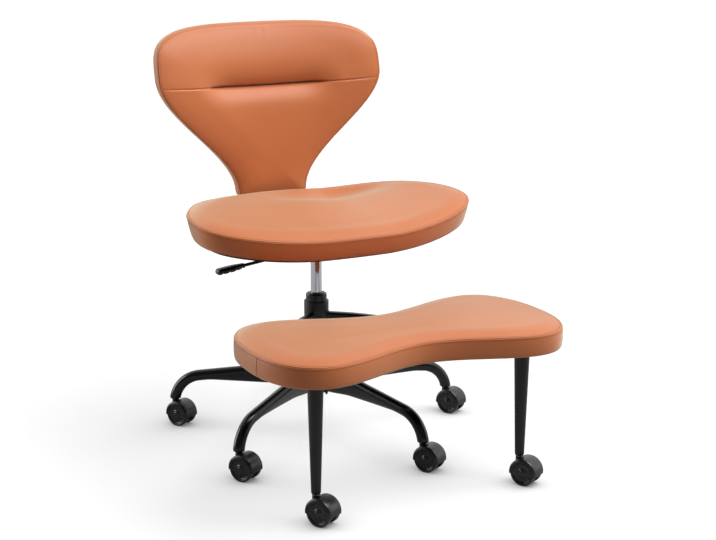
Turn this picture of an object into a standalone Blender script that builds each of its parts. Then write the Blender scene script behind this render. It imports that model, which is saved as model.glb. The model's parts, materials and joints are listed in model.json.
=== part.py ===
"""Rolling meditation chair with a footrest that swings round the column.

Metres, +Z up. The chair faces -Y, the sitter's left is +X, and the origin is on the floor at the
middle of the whole footprint. Every piece is built about the column's axis, and one root empty
then carries the chair to the origin.
"""

import math

import bmesh
import bpy
from mathutils import Matrix, Vector

# Clearances
GAP = 0.0003
RUNNING_GAP = 0.0003

# Outlines of the cushions
OUTLINE_SAMPLES = 720
PAD_POINTS = 56
PAD_SHARES = (0.84, 0.66, 0.48, 0.32, 0.15)
PAD_ROUNDING = 0.0030
PAD_BULGE = 0.0010
CROWN_REACH = 0.0450
CROWN_SHOULDER = 0.0110

# Casters
WHEEL_RADIUS = 0.0265
WHEEL_WIDTH = 0.0115
WHEEL_EDGE = 0.0022
WHEEL_RECESS = 0.0016
WHEEL_HUB_RADIUS = 0.0085
WHEEL_RIM_WIDTH = 0.0055
WHEEL_STEPS = 18
CASTER_TRAIL = 0.016
CASTER_HEADING = math.radians(-61.0)
AXLE_RADIUS = 0.0030
HOOD_GAP = 0.0011
HOOD_WALL = 0.0017
HOOD_SWEEP = math.radians(196.0)
HOOD_STEPS = 10
HOOD_OVERHANG = 0.0008
AXLE_SEAT = 0.0066
WEB_THICKNESS = 0.0060
STEM_BOSS_RADIUS = 0.0075
STEM_BOSS_FOOT = 0.0300
STEM_BOSS_TOP = 0.0565
STEM_LOWER_RADIUS = 0.0050
STEM_UPPER_RADIUS = 0.0055
STEM_SEAT_DEPTH = 0.0200
STEM_FLANGE_RADIUS = 0.0085
STEM_FLANGE_THICKNESS = 0.0009
STEM_LENGTH_IN_LEG = 0.0155
STEM_CHAMFER = 0.0010

# Star base
LEG_COUNT = 5
BASE_RADIUS = 0.320
BASE_TURN = math.radians(-1.35)
HUB_RADIUS = 0.0315
HUB_BOTTOM = 0.0960
HUB_TOP = 0.1620
HUB_EDGE = 0.0015
LEG_ROOT_OVERLAP = 0.0126
LEG_TUBE_RADIUS = 0.0120
LEG_ROOT_HEIGHT = 0.1480
LEG_FALL = math.radians(8.5)
LEG_BEND_END = math.radians(78.0)
LEG_BEND_STEPS = 4
LEG_STUB = 0.0030
LEG_WEB_BOTTOM = 0.1045
LEG_WEB_ROOT = 0.0985
LEG_WEB_ROOT_REACH = 0.1100
LEG_SIDES = 12
LEG_STATIONS = (0.22, 0.45, 0.72, 1.0)
WEB_SIDES = ((0.866, 0.500), (0.500, 0.866))
WEB_PINCH = 0.10

# Column
TUBE_RADIUS = 0.0225
TUBE_RECESS = 0.0015
TUBE_TOP = 0.3130
TUBE_FLOOR = 0.0080
TUBE_SHOULDER = 0.0040
ROD_RADIUS = 0.0120
ROD_BOTTOM = 0.1700
ROD_RISE = 0.0237
ROD_TAPER_LENGTH = 0.0370
ROD_TAPER_DROP = 0.0012
TUBE_WALL = 0.0050
TUBE_MOUTH = 0.0012
GUIDE_LENGTH = 0.0140
GUIDE_LIP = 0.0018
BUTTON_RADIUS = 0.0040
BUTTON_LENGTH = 0.0140
BUTTON_STAND = 0.0060
BUTTON_TRAVEL = 0.0035
BUTTON_EDGE = 0.0008
BUTTON_BORE_SPARE = 0.0020
COLUMN_STEPS = 24
STEM_STEPS = 10

# Footrest swivel
SLEEVE_RADIUS = 0.0265
SLEEVE_WALL = 0.0024
SLEEVE_BELOW_ARM = 0.0070
SLEEVE_LENGTH = 0.0470
RING_EDGE = 0.0010
STOP_RING_HEIGHT = 0.0090
STOP_RING_RADIUS = 0.0275
ARM_WIDTH = 0.0200
ARM_HEIGHT = 0.0150
ARM_DROP = 0.0083
ARM_POWER = 3.0
ARM_CLIMB_START = 0.55
ARM_CLIMB_END = 0.90
ARM_SPREAD = math.radians(56.0)
ARM_END_X = 0.1650
ARM_END_REACH = 0.3350
ARM_RUN_OUT = 0.1300
ARM_STEPS = 9
ARM_SIDES = 14

# Footrest
FOOT_LENGTH = 0.6620
FOOT_LOBE_DEPTH = 0.3560
FOOT_WAIST_DEPTH = 0.2240
FOOT_LOBE_PITCH = 0.2000
FOOT_END_POWER = 2.8
FOOT_REACH = 0.3880
FOOT_SEAM_HEIGHT = 0.3294
FOOT_BOXING = 0.0405
FOOT_CROWN = 0.0125
FOOT_BOARD_THICKNESS = 0.0080
FOOT_BOARD_INSET = 0.0300
FOOT_LEG_SPACING = 0.4520
FOOT_LEG_REACH = 0.4600
FOOT_LEG_TOP_RADIUS = 0.0155
FOOT_LEG_FOOT_RADIUS = 0.0094
FOOT_LEG_ROUNDING = 0.0020
FOOT_PLATE_SIZE = 0.0620
FOOT_PLATE_THICKNESS = 0.0030
FOOT_PLATE_CORNER = 0.0100

# Seat
SEAT_WIDTH = 0.6200
SEAT_FRONT_DEPTH = 0.1350
SEAT_REAR_DEPTH = 0.2640
SEAT_REACH = 0.0810
SEAT_FRONT_POWER = 2.47
SEAT_REAR_POWER = 2.05
SEAT_SEAM_HEIGHT = 0.4850
SEAT_SIDE_RISE = 0.0350
SEAT_RISE_POWER = 1.6
SEAT_SLOPE = 0.1020
SEAT_BOXING = 0.0345
SEAT_CROWN = 0.0130
SEAT_DISH = 0.0180
SEAT_DISH_WIDTH = 0.1700
SEAT_DISH_DEPTH = 0.0900
SEAT_DISH_REACH = -0.0750
SEAT_SPINE = 0.1300
SHELL_THICKNESS = 0.0080
SHELL_INSET = 0.0320

# Seat mechanism
PLATE_WIDTH = 0.1500
PLATE_DEPTH = 0.1500
PLATE_CORNER = 0.0180
PLATE_THICKNESS = 0.0030
TUB_WIDTH = 0.1140
TUB_DEPTH = 0.1120
TUB_WALL = 0.0025
TUB_HEIGHT = 0.0385
TUB_CORNER = 0.0100
TUB_FLOOR_HOLE_GAP = 0.0006
SOCKET_RADIUS = 0.0200
SOCKET_BELOW_TUB = 0.0183
SOCKET_BELOW_ROD = 0.0050

# Lever
LEVER_RADIUS = 0.0035
LEVER_TIP_X = 0.0040
LEVER_SWEEP = math.radians(7.0)
LEVER_SWING = math.radians(3.5)
LEVER_KNEE = 0.0060
LEVER_BEND_X = -0.1140
LEVER_CRANK_DROP = 0.0388
LEVER_END_X = -0.2200
LEVER_END_DROP = 0.0095
LEVER_BEND_EASE = 0.0060
GRIP_START_X = -0.1780
GRIP_END_X = -0.2420
GRIP_WIDTH = 0.0220
GRIP_THICKNESS = 0.0100
GRIP_NOTCHES = 4
GRIP_NOTCH_DEPTH = 0.0020
GRIP_STEPS_PER_NOTCH = 4
GRIP_SIDES = 10
GRIP_POWER = 2.8
GRIP_NECK = 0.62
GRIP_NECK_THICKNESS = 0.80
GRIP_SWELL_END = 0.45
GRIP_ROUND_START = 0.88
GRIP_ROUND_DROP = 0.75

# Backrest
BACK_CLEARANCE = 0.0260
BACK_FOOT_DROP = 0.0070
BACK_HEIGHT = 0.3890
BACK_FACE_RISE = 0.0420
BACK_RAKE = 0.1940
BACK_WRAP = 0.0265
BACK_WRAP_WIDTH = 0.2000
BACK_BOW = 0.0123
BACK_BOW_RISE = 0.2420
BACK_BOW_SPAN = 0.2000
BACK_NECK_WIDTH = 0.1560
BACK_NECK_CORNER = 0.0260
BACK_NECK_POWER = 2.6
BACK_FLARE_START_RISE = 0.0220
BACK_FLARE_END_RISE = 0.2820
BACK_WIDTH = 0.5300
BACK_TOP_POWER = 3.9
BACK_FOLD_RISE = 0.2590
BACK_FOLD_WIDTH = 0.2500
BACK_FOLD_DEPTH = 0.0160
BACK_FOLD_ABOVE = 0.0240
BACK_FOLD_BELOW = 0.0120
BACK_FOLD_ENDS = (0.42, 0.58)
BACK_SPINE_SHARE = 0.75
BACK_SPINE_TAPER = 0.55
BACK_SPINE_DROP = 0.35
BACK_BOXING = 0.0300
BACK_CROWN = 0.0130
BACK_BOARD_THICKNESS = 0.0080
BACK_BOARD_INSET = 0.0120

# Back bar
BAR_WIDTH = 0.0560
BAR_THICKNESS = 0.0060
BAR_PLATE_GAP = 0.0050
BAR_BEND_RADIUS = 0.0260
BAR_RISE = 0.1420
BAR_STEPS = 6

# Colours as linear red, green, blue, then roughness and metallic
FINISHES = {
    "tan_leather": ((0.640, 0.250, 0.105), 0.45, 0.0),
    "black_powder_coat": ((0.012, 0.012, 0.013), 0.30, 0.0),
    "satin_black": ((0.016, 0.016, 0.017), 0.45, 0.0),
    "black_nylon": ((0.014, 0.014, 0.015), 0.50, 0.0),
    "wheel_rubber": ((0.020, 0.020, 0.021), 0.40, 0.0),
    "chrome": ((0.700, 0.700, 0.720), 0.12, 1.0),
    "steel": ((0.420, 0.420, 0.430), 0.35, 1.0),
    "plywood": ((0.400, 0.250, 0.130), 0.70, 0.0),
}

# Places that follow from the sizes above
LEG_FOOT = STEM_BOSS_TOP + GAP + STEM_FLANGE_THICKNESS + GAP
LEG_SOCKET_DEPTH = STEM_LENGTH_IN_LEG + GAP
LEG_SOCKET_RADIUS = STEM_UPPER_RADIUS + GAP
WHEEL_INNER_FACE = STEM_BOSS_RADIUS + 2 * RUNNING_GAP
CASTER_WIDTH = 2 * (WHEEL_INNER_FACE + WHEEL_WIDTH + HOOD_OVERHANG)
HOOD_RADIUS = WHEEL_RADIUS + HOOD_GAP + HOOD_WALL
LEG_BEND_RADIUS = (
    LEG_ROOT_HEIGHT - (BASE_RADIUS - HUB_RADIUS) * math.tan(LEG_FALL) - LEG_FOOT - LEG_STUB
) / (
    math.cos(LEG_FALL) - math.cos(LEG_BEND_END)
    - (math.sin(LEG_BEND_END) - math.sin(LEG_FALL)) * math.tan(LEG_FALL)
)
LEG_BEND_START = BASE_RADIUS - LEG_BEND_RADIUS * (math.sin(LEG_BEND_END) - math.sin(LEG_FALL))
LEG_STRAIGHT = (LEG_BEND_START - HUB_RADIUS) / math.cos(LEG_FALL)
LEG_BEND = LEG_BEND_RADIUS * (LEG_BEND_END - LEG_FALL)
FOOT_BOARD_TOP = FOOT_SEAM_HEIGHT - FOOT_BOXING - GAP
FOOT_BOARD_BOTTOM = FOOT_BOARD_TOP - FOOT_BOARD_THICKNESS
ARM_TOP = FOOT_BOARD_BOTTOM - GAP - ARM_DROP
SLEEVE_BOTTOM = ARM_TOP - ARM_HEIGHT - SLEEVE_BELOW_ARM
SLEEVE_TOP = SLEEVE_BOTTOM + SLEEVE_LENGTH
TUBE_BOTTOM = HUB_BOTTOM + TUBE_RECESS
TUBE_BORE = TUBE_RADIUS - TUBE_WALL
SHELL_TOP_DEPTH = SEAT_BOXING + GAP
PLATE_TOP_DEPTH = SHELL_TOP_DEPTH + SHELL_THICKNESS + GAP
TUB_RIM_DEPTH = PLATE_TOP_DEPTH + PLATE_THICKNESS + GAP
TUB_BOTTOM = SEAT_SEAM_HEIGHT + SEAT_SLOPE * SEAT_REACH - TUB_RIM_DEPTH - TUB_HEIGHT
ROD_TOP = TUB_BOTTOM + ROD_RISE
SOCKET_BOTTOM = TUB_BOTTOM - SOCKET_BELOW_TUB
SOCKET_TOP = ROD_TOP - SOCKET_BELOW_ROD
LEVER_HEIGHT = ROD_TOP + BUTTON_STAND + GAP + LEVER_RADIUS
LEVER_PIVOT_X = -(TUB_WIDTH - TUB_WALL) / 2
LEVER_KNEE_X = -TUB_WIDTH / 2 - LEVER_KNEE
LEVER_BEND_HEIGHT = LEVER_HEIGHT - LEVER_CRANK_DROP
LEVER_END_HEIGHT = LEVER_BEND_HEIGHT - LEVER_END_DROP
BACK_REACH = SEAT_REAR_DEPTH - SEAT_REACH + BACK_CLEARANCE
BACK_BOTTOM = SEAT_SEAM_HEIGHT - BACK_FOOT_DROP
BACK_TOP = BACK_BOTTOM + BACK_HEIGHT
BACK_FACE_HEIGHT = BACK_BOTTOM + BACK_FACE_RISE
BACK_BOW_HEIGHT = BACK_BOTTOM + BACK_BOW_RISE
BACK_FLARE_START = BACK_BOTTOM + BACK_FLARE_START_RISE
BACK_FLARE_END = BACK_BOTTOM + BACK_FLARE_END_RISE
BACK_FOLD_HEIGHT = BACK_BOTTOM + BACK_FOLD_RISE
BACK_BOARD_DEPTH = BACK_BOXING + GAP
BAR_FRONT_DEPTH = BACK_BOARD_DEPTH + BACK_BOARD_THICKNESS + GAP
BAR_START_REACH = PLATE_DEPTH / 2 + BAR_PLATE_GAP
BAR_TOP = BACK_BOTTOM + BAR_RISE

PARTS = "rolling_meditation_chair"
CUTTERS = "cutters"


# Scene helpers


def clear_scene():
    for item in list(bpy.data.objects):
        bpy.data.objects.remove(item, do_unlink=True)


def collection(name):
    found = bpy.data.collections.get(name)
    if found is None:
        found = bpy.data.collections.new(name)
        bpy.context.scene.collection.children.link(found)
    return found


def finish(name):
    """Return the named material, made once."""
    found = bpy.data.materials.get(name)
    if found is not None:
        return found
    colour, roughness, metallic = FINISHES[name]
    made = bpy.data.materials.new(name)
    made.use_nodes = True
    shader = made.node_tree.nodes["Principled BSDF"]
    shader.inputs["Base Color"].default_value = (*colour, 1.0)
    shader.inputs["Roughness"].default_value = roughness
    shader.inputs["Metallic"].default_value = metallic
    return made


def empty(name, location=(0.0, 0.0, 0.0), turn=0.0, parent=None):
    made = bpy.data.objects.new(name, None)
    made.empty_display_size = 0.03
    made.location = location
    made.rotation_euler = (0.0, 0.0, turn)
    made.parent = parent
    collection(PARTS).objects.link(made)
    return made


def piece(name, mesh, material, parent=None, location=(0.0, 0.0, 0.0), rotation=(0.0, 0.0, 0.0)):
    """Put a mesh in the scene as one named sub-part."""
    made = bpy.data.objects.new(name, mesh)
    made.location = location
    made.rotation_euler = rotation
    made.parent = parent
    collection(PARTS).objects.link(made)
    if not mesh.materials:
        mesh.materials.append(finish(material))
    return made


def smooth(mesh, angle=math.radians(40.0)):
    mesh.shade_smooth()
    mesh.set_sharp_from_angle(angle=angle)
    return mesh


# Mesh helpers


def cap(shape, loop, across):
    """Close a loop with one face, or with strips that join each point to its mirror image."""
    if not across:
        shape.faces.new(loop)
        return
    count = len(loop)
    for i in range(count // 2):
        strip = (loop[i], loop[i + 1], loop[count - i - 1], loop[(count - i) % count])
        shape.faces.new(dict.fromkeys(strip))


def loft(name, rings, across=False):
    """Join rings of equal counts into one closed mesh, capped at both ends.

    With across set, the caps are strips, and every quad is split along the same diagonal, so that
    two pads made from the same rings lie evenly against each other.
    """
    shape = bmesh.new()
    loops = [[shape.verts.new(point) for point in ring] for ring in rings]
    for lower, upper in zip(loops, loops[1:]):
        count = len(lower)
        for i in range(count):
            j = (i + 1) % count
            if across:
                shape.faces.new((lower[i], lower[j], upper[j]))
                shape.faces.new((lower[i], upper[j], upper[i]))
            else:
                shape.faces.new((lower[i], lower[j], upper[j], upper[i]))
    cap(shape, loops[0], across)
    cap(shape, loops[-1], across)
    bmesh.ops.recalc_face_normals(shape, faces=shape.faces)
    mesh = bpy.data.meshes.new(name)
    shape.to_mesh(mesh)
    shape.free()
    return smooth(mesh)


def prism(name, outline, bottom, top):
    """Extrude a flat outline of (x, y) points between two heights, as a filled 2D curve."""
    curve = bpy.data.curves.new(name, "CURVE")
    curve.dimensions = "2D"
    curve.fill_mode = "BOTH"
    curve.extrude = (top - bottom) / 2
    spline = curve.splines.new("POLY")
    spline.points.add(len(outline) - 1)
    for point, (x, y) in zip(spline.points, outline):
        point.co = (x, y, 0.0, 1.0)
    spline.use_cyclic_u = True
    return curve_mesh(name, curve, (0.0, 0.0, (top + bottom) / 2))


def side_prism(name, outline, half_width):
    """Extrude an (x, z) outline along Y, evenly to both sides."""
    mesh = prism(name, outline, -half_width, half_width)
    mesh.transform(Matrix.Rotation(math.pi / 2, 4, "X"))
    return mesh


def curve_mesh(name, curve, location=(0.0, 0.0, 0.0)):
    """Turn a curve into one closed mesh, welded where its caps meet its sides."""
    maker = bpy.data.objects.new(name, curve)
    collection(CUTTERS).objects.link(maker)
    bpy.context.view_layer.update()
    seen = maker.evaluated_get(bpy.context.evaluated_depsgraph_get())
    mesh = bpy.data.meshes.new_from_object(seen)
    bpy.data.objects.remove(maker, do_unlink=True)
    bpy.data.curves.remove(curve)
    shape = bmesh.new()
    shape.from_mesh(mesh)
    bmesh.ops.remove_doubles(shape, verts=shape.verts, dist=0.000001)
    bmesh.ops.recalc_face_normals(shape, faces=shape.faces)
    bmesh.ops.translate(shape, verts=shape.verts, vec=location)
    shape.to_mesh(mesh)
    shape.free()
    mesh.materials.clear()
    return smooth(mesh)


def tube(name, points, radius):
    """A round rod along a list of points."""
    curve = bpy.data.curves.new(name, "CURVE")
    curve.dimensions = "3D"
    curve.bevel_depth = radius
    curve.bevel_resolution = 2
    curve.use_fill_caps = True
    spline = curve.splines.new("POLY")
    spline.points.add(len(points) - 1)
    for point, place in zip(spline.points, points):
        point.co = (*place, 1.0)
    return curve_mesh(name, curve)


def turned(name, profile, material, parent=None, location=(0, 0, 0), rotation=(0, 0, 0), steps=COLUMN_STEPS):
    """Revolve (radius, height) points about Z; the profile runs down its outer side."""
    mesh = bpy.data.meshes.new(name)
    closed = profile[0][0] > 0.0
    count = len(profile)
    edges = [(i, i + 1) for i in range(count - 1)]
    if closed:
        edges.append((count - 1, 0))
    mesh.from_pydata([(radius, 0.0, height) for radius, height in profile], edges, [])
    made = piece(name, mesh, material, parent, location, rotation)
    screw = made.modifiers.new("turn", "SCREW")
    screw.axis = "Z"
    screw.angle = 2.0 * math.pi
    screw.steps = steps
    screw.render_steps = steps
    screw.use_merge_vertices = True
    screw.merge_threshold = 0.00001
    screw.use_smooth_shade = True
    return made


def ring_profile(outer, inner, bottom, top, edge=0.0):
    """Return the section of a plain ring, its outer edges chamfered by edge."""
    side = [(outer, top), (outer, bottom)]
    if edge:
        side = [(outer - edge, top), (outer, top - edge), (outer, bottom + edge), (outer - edge, bottom)]
    return side + [(inner, bottom), (inner, top)]


def cylinder(name, radius, bottom, top, steps=COLUMN_STEPS):
    shape = bmesh.new()
    bmesh.ops.create_cone(
        shape, cap_ends=True, segments=steps, radius1=radius, radius2=radius, depth=top - bottom,
        matrix=Matrix.Translation((0.0, 0.0, (top + bottom) / 2)),
    )
    mesh = bpy.data.meshes.new(name)
    shape.to_mesh(mesh)
    shape.free()
    return smooth(mesh)


def combined(name, base, changes):
    """Return the mesh of base after a list of (operation, mesh) Booleans."""
    body = piece(name, base, "steel")
    helpers = []
    for operation, mesh in changes:
        cutter = bpy.data.objects.new(name + "_cutter", mesh)
        cutter.display_type = "WIRE"
        cutter.hide_render = True
        collection(CUTTERS).objects.link(cutter)
        helpers.append(cutter)
        change = body.modifiers.new(operation.lower(), "BOOLEAN")
        change.operation = operation
        change.object = cutter
    bpy.context.view_layer.update()
    seen = body.evaluated_get(bpy.context.evaluated_depsgraph_get())
    result = bpy.data.meshes.new_from_object(seen)
    result.name = name
    result.materials.clear()
    for item in (body, *helpers):
        bpy.data.objects.remove(item, do_unlink=True)
    return smooth(result)


# Curves


def ramp(value):
    """Keep value between 0 and 1."""
    return min(max(value, 0.0), 1.0)


def blend(value):
    """Ease from 0 to 1 as value goes from 0 to 1."""
    value = ramp(value)
    return value * value * (3.0 - 2.0 * value)


def power_point(angle, half_width, half_depth, power):
    """Return a point of a superellipse."""
    c, s = math.cos(angle), math.sin(angle)
    return (
        half_width * math.copysign(abs(c) ** (2.0 / power), c),
        half_depth * math.copysign(abs(s) ** (2.0 / power), s),
    )


def even_angles(count, start=0.0):
    return [start + 2.0 * math.pi * i / count for i in range(count)]


def even_points(outline, count):
    """Return count points at even steps along a closed outline."""
    closed = [Vector(point) for point in outline + outline[:1]]
    step = sum((after - before).length for before, after in zip(closed, closed[1:])) / count
    points = []
    walked = 0.0
    for before, after in zip(closed, closed[1:]):
        length = (after - before).length
        while len(points) < count and len(points) * step < walked + length:
            points.append(tuple(before.lerp(after, (len(points) * step - walked) / length)))
        walked += length
    return points


def crown_height(crown, inset):
    """Return how high a cushion's face has risen at an inset from its seam."""
    return crown * (1.0 - (1.0 - ramp(inset / CROWN_REACH)) ** 2)


def cushion_rings(boxing, crown, flat_inset):
    """Rings of a boxed cushion: flat back, full sides, then a face that rises from the seam.

    Each ring is (share, inset, height): share of the way from the spine to the outline, inset in
    metres from there, and height over the seam. A height of None lies on the crowned face.
    """
    back = [(share, 0.0, -boxing) for share in PAD_SHARES[:0:-2]]
    side = [
        (1.0, flat_inset, -boxing),
        (1.0, PAD_ROUNDING, -boxing),
        (1.0, 0.0, -boxing + PAD_ROUNDING),
        (1.0, -PAD_BULGE, -boxing / 2),
        (1.0, 0.0, 0.0),
        (1.0, CROWN_SHOULDER, None),
    ]
    face = [(share, 0.0, None) for share in PAD_SHARES]
    return back + side + face


def board_rings(front, thickness, inset):
    """Rings of the board that fits a cushion's flat back, from its contact side."""
    back = [(share, 0.0) for share in PAD_SHARES[:0:-2]] + [(1.0, inset)]
    near = [(share, edge, -front) for share, edge in back]
    return near + [(share, edge, -front - thickness) for share, edge in reversed(back)]


def pad(name, outline, spine, rings, crown, place):
    """Build a cushion or its board from rings that close in on a spine.

    Place turns a plan point, a height over the seam and the share of the crown reached there into
    a position. The outline starts on the middle line and its second half mirrors the first.
    """
    loops = []
    for share, inset, height in rings:
        loop = []
        for point in outline:
            centre = Vector(spine(point))
            arm = Vector(point) - centre
            length = max(share * arm.length - inset, 0.0)
            here = centre + arm.normalized() * length
            risen = crown_height(crown, arm.length - length) if height is None else 0.0
            loop.append(Vector(place(here.x, here.y, risen if height is None else height, risen / crown)))
        loops.append(loop)
    return loft(name, loops, across=True)


# Star base


def leg_centre(along):
    """Return the (reach, height, angle) of a leg's upper tube, measured from the hub outward."""
    if along <= LEG_STRAIGHT:
        reach = HUB_RADIUS + along * math.cos(LEG_FALL)
        return reach, LEG_ROOT_HEIGHT - along * math.sin(LEG_FALL), LEG_FALL
    angle = LEG_FALL + (along - LEG_STRAIGHT) / LEG_BEND_RADIUS
    reach = LEG_BEND_START + LEG_BEND_RADIUS * (math.sin(angle) - math.sin(LEG_FALL))
    bend_height = LEG_ROOT_HEIGHT - LEG_STRAIGHT * math.sin(LEG_FALL)
    return reach, bend_height - LEG_BEND_RADIUS * (math.cos(LEG_FALL) - math.cos(angle)), angle


def leg_section(depth):
    """Return (sideways, down) points: a round tube on top, drawn down into a web of that depth."""
    radius = LEG_TUBE_RADIUS
    slimness = min((depth - radius) / radius, 1.0)
    half = LEG_SIDES // 2
    upper = [(radius * math.cos(math.pi * i / half), -radius * math.sin(math.pi * i / half))
             for i in range(half + 1)]
    left = [(-radius * (width - WEB_PINCH * slimness * width), depth * down) for width, down in WEB_SIDES]
    right = [(-sideways, down) for sideways, down in reversed(left)]
    return upper + left + [(0.0, depth)] + right


def leg_depth(reach, height):
    """Return how far the leg reaches below the middle of its upper tube."""
    root = 1.0 - blend((reach - HUB_RADIUS) / (LEG_WEB_ROOT_REACH - HUB_RADIUS))
    bottom = LEG_WEB_BOTTOM + (LEG_WEB_ROOT - LEG_WEB_BOTTOM) * root
    return max(height - bottom, LEG_TUBE_RADIUS)


def leg_mesh():
    """One arched leg, cut to the hub at its root, with the socket for a caster's stem."""
    stations = [LEG_STRAIGHT * share for share in LEG_STATIONS]
    stations += [LEG_STRAIGHT + LEG_BEND * (i + 1) / LEG_BEND_STEPS for i in range(LEG_BEND_STEPS)]
    rings = []
    for station in [-LEG_ROOT_OVERLAP] + stations:
        reach, height, angle = leg_centre(station)
        section = leg_section(leg_depth(reach, height) if station <= LEG_STRAIGHT else LEG_TUBE_RADIUS)
        lean = angle if station > LEG_STRAIGHT else angle * blend(station / LEG_STRAIGHT)
        rings.append([Vector((reach - down * math.sin(lean), sideways, height - down * math.cos(lean)))
                      for sideways, down in section])
    around = [math.atan2(point.y, point.x - BASE_RADIUS) for point in rings[-1]]
    foot = ((LEG_TUBE_RADIUS, LEG_FOOT), (LEG_SOCKET_RADIUS, LEG_FOOT),
            (LEG_SOCKET_RADIUS, LEG_FOOT + LEG_SOCKET_DEPTH))
    for radius, height in foot:
        rings.append([Vector((BASE_RADIUS + radius * math.cos(a), radius * math.sin(a), height)) for a in around])
    hub = cylinder("hub_cutter", HUB_RADIUS + GAP, HUB_BOTTOM - HUB_RADIUS, HUB_TOP + HUB_RADIUS, 2 * COLUMN_STEPS)
    return combined("base_leg", loft("leg", rings), [("DIFFERENCE", hub)])


def build_base(parent):
    hub = ring_profile(HUB_RADIUS, TUBE_RADIUS + GAP, HUB_BOTTOM, HUB_TOP, HUB_EDGE)
    turned("base_hub", hub, "black_powder_coat", parent)
    mesh = leg_mesh()
    for i in range(LEG_COUNT):
        turn = BASE_TURN + 2.0 * math.pi * i / LEG_COUNT
        piece(f"base_leg_{i + 1}", mesh, "black_powder_coat", parent, rotation=(0.0, 0.0, turn))


# Column


def build_column(parent):
    tube = [
        (0.0, TUBE_BOTTOM + TUBE_FLOOR),
        (TUBE_BORE, TUBE_BOTTOM + TUBE_FLOOR),
        (TUBE_BORE, TUBE_TOP - GUIDE_LENGTH),
        (TUBE_BORE + TUBE_MOUTH, TUBE_TOP),
        (TUBE_RADIUS - TUBE_SHOULDER + TUBE_MOUTH, TUBE_TOP),
        (TUBE_RADIUS - TUBE_MOUTH, TUBE_TOP - TUBE_MOUTH),
        (TUBE_RADIUS, TUBE_TOP - TUBE_SHOULDER),
        (TUBE_RADIUS, TUBE_BOTTOM + TUBE_SHOULDER),
        (TUBE_RADIUS - TUBE_SHOULDER, TUBE_BOTTOM),
        (0.0, TUBE_BOTTOM),
    ]
    turned("gas_lift_tube", tube, "black_powder_coat", parent)
    guide = ring_profile(TUBE_BORE - GAP, ROD_RADIUS + RUNNING_GAP, TUBE_TOP - GUIDE_LENGTH, TUBE_TOP + GUIDE_LIP)
    turned("rod_guide", guide, "black_nylon", parent)
    stop_top = SLEEVE_BOTTOM - 2 * GAP
    stop = ring_profile(STOP_RING_RADIUS, TUBE_RADIUS + GAP, stop_top - STOP_RING_HEIGHT, stop_top, RING_EDGE)
    turned("footrest_stop_ring", stop, "steel", parent)


def build_rod(parent):
    bore = BUTTON_RADIUS + RUNNING_GAP
    bore_bottom = ROD_TOP + BUTTON_STAND - BUTTON_LENGTH - BUTTON_TRAVEL - BUTTON_BORE_SPARE
    rod = [
        (0.0, bore_bottom),
        (bore, bore_bottom),
        (bore, ROD_TOP),
        (ROD_RADIUS - ROD_TAPER_DROP, ROD_TOP),
        (ROD_RADIUS, ROD_TOP - ROD_TAPER_LENGTH),
        (ROD_RADIUS, ROD_BOTTOM),
        (0.0, ROD_BOTTOM),
    ]
    turned("gas_lift_rod", rod, "chrome", parent)
    top = ROD_TOP + BUTTON_STAND
    button = [
        (0.0, top),
        (BUTTON_RADIUS - BUTTON_EDGE, top),
        (BUTTON_RADIUS, top - BUTTON_EDGE),
        (BUTTON_RADIUS, top - BUTTON_LENGTH),
        (0.0, top - BUTTON_LENGTH),
    ]
    turned("valve_button", button, "steel", parent, steps=STEM_STEPS)


# Casters


def hood_arc(radius, steps):
    """Return (x, z) points of an arc about the axle, from the trailing side over to the stem."""
    start = math.pi / 2 - HOOD_SWEEP / 2
    return [
        (CASTER_TRAIL + radius * math.cos(start + HOOD_SWEEP * i / steps),
         WHEEL_RADIUS + radius * math.sin(start + HOOD_SWEEP * i / steps))
        for i in range(steps + 1)
    ]


def caster_body_mesh():
    """Hood, middle web, axle and stem boss in one moulding; x runs from stem to axle."""
    outer = hood_arc(HOOD_RADIUS, HOOD_STEPS)
    inner = hood_arc(HOOD_RADIUS - HOOD_WALL, HOOD_STEPS)
    hood = side_prism("hood", outer + inner[::-1], CASTER_WIDTH / 2)
    rim = hood_arc(HOOD_RADIUS - HOOD_WALL / 2, HOOD_STEPS)
    web_outline = rim + [(CASTER_TRAIL - AXLE_SEAT, WHEEL_RADIUS - AXLE_SEAT),
                         (CASTER_TRAIL + AXLE_SEAT, WHEEL_RADIUS - AXLE_SEAT)]
    web = side_prism("web", web_outline, WEB_THICKNESS / 2)
    axle_half = WHEEL_INNER_FACE + WHEEL_WIDTH - WHEEL_RECESS - GAP
    axle_ring = [(CASTER_TRAIL + AXLE_RADIUS * math.cos(a), WHEEL_RADIUS + AXLE_RADIUS * math.sin(a))
                 for a in even_angles(STEM_STEPS)]
    axle = side_prism("axle", axle_ring, axle_half)
    boss = cylinder("boss", STEM_BOSS_RADIUS, STEM_BOSS_FOOT, STEM_BOSS_TOP, STEM_STEPS)
    socket = cylinder("socket", STEM_LOWER_RADIUS + GAP, STEM_BOSS_TOP - STEM_SEAT_DEPTH,
                      STEM_BOSS_TOP + STEM_LOWER_RADIUS, STEM_STEPS)
    changes = [("UNION", web), ("UNION", axle), ("UNION", boss), ("DIFFERENCE", socket)]
    return combined("caster_body", hood, changes)


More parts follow.
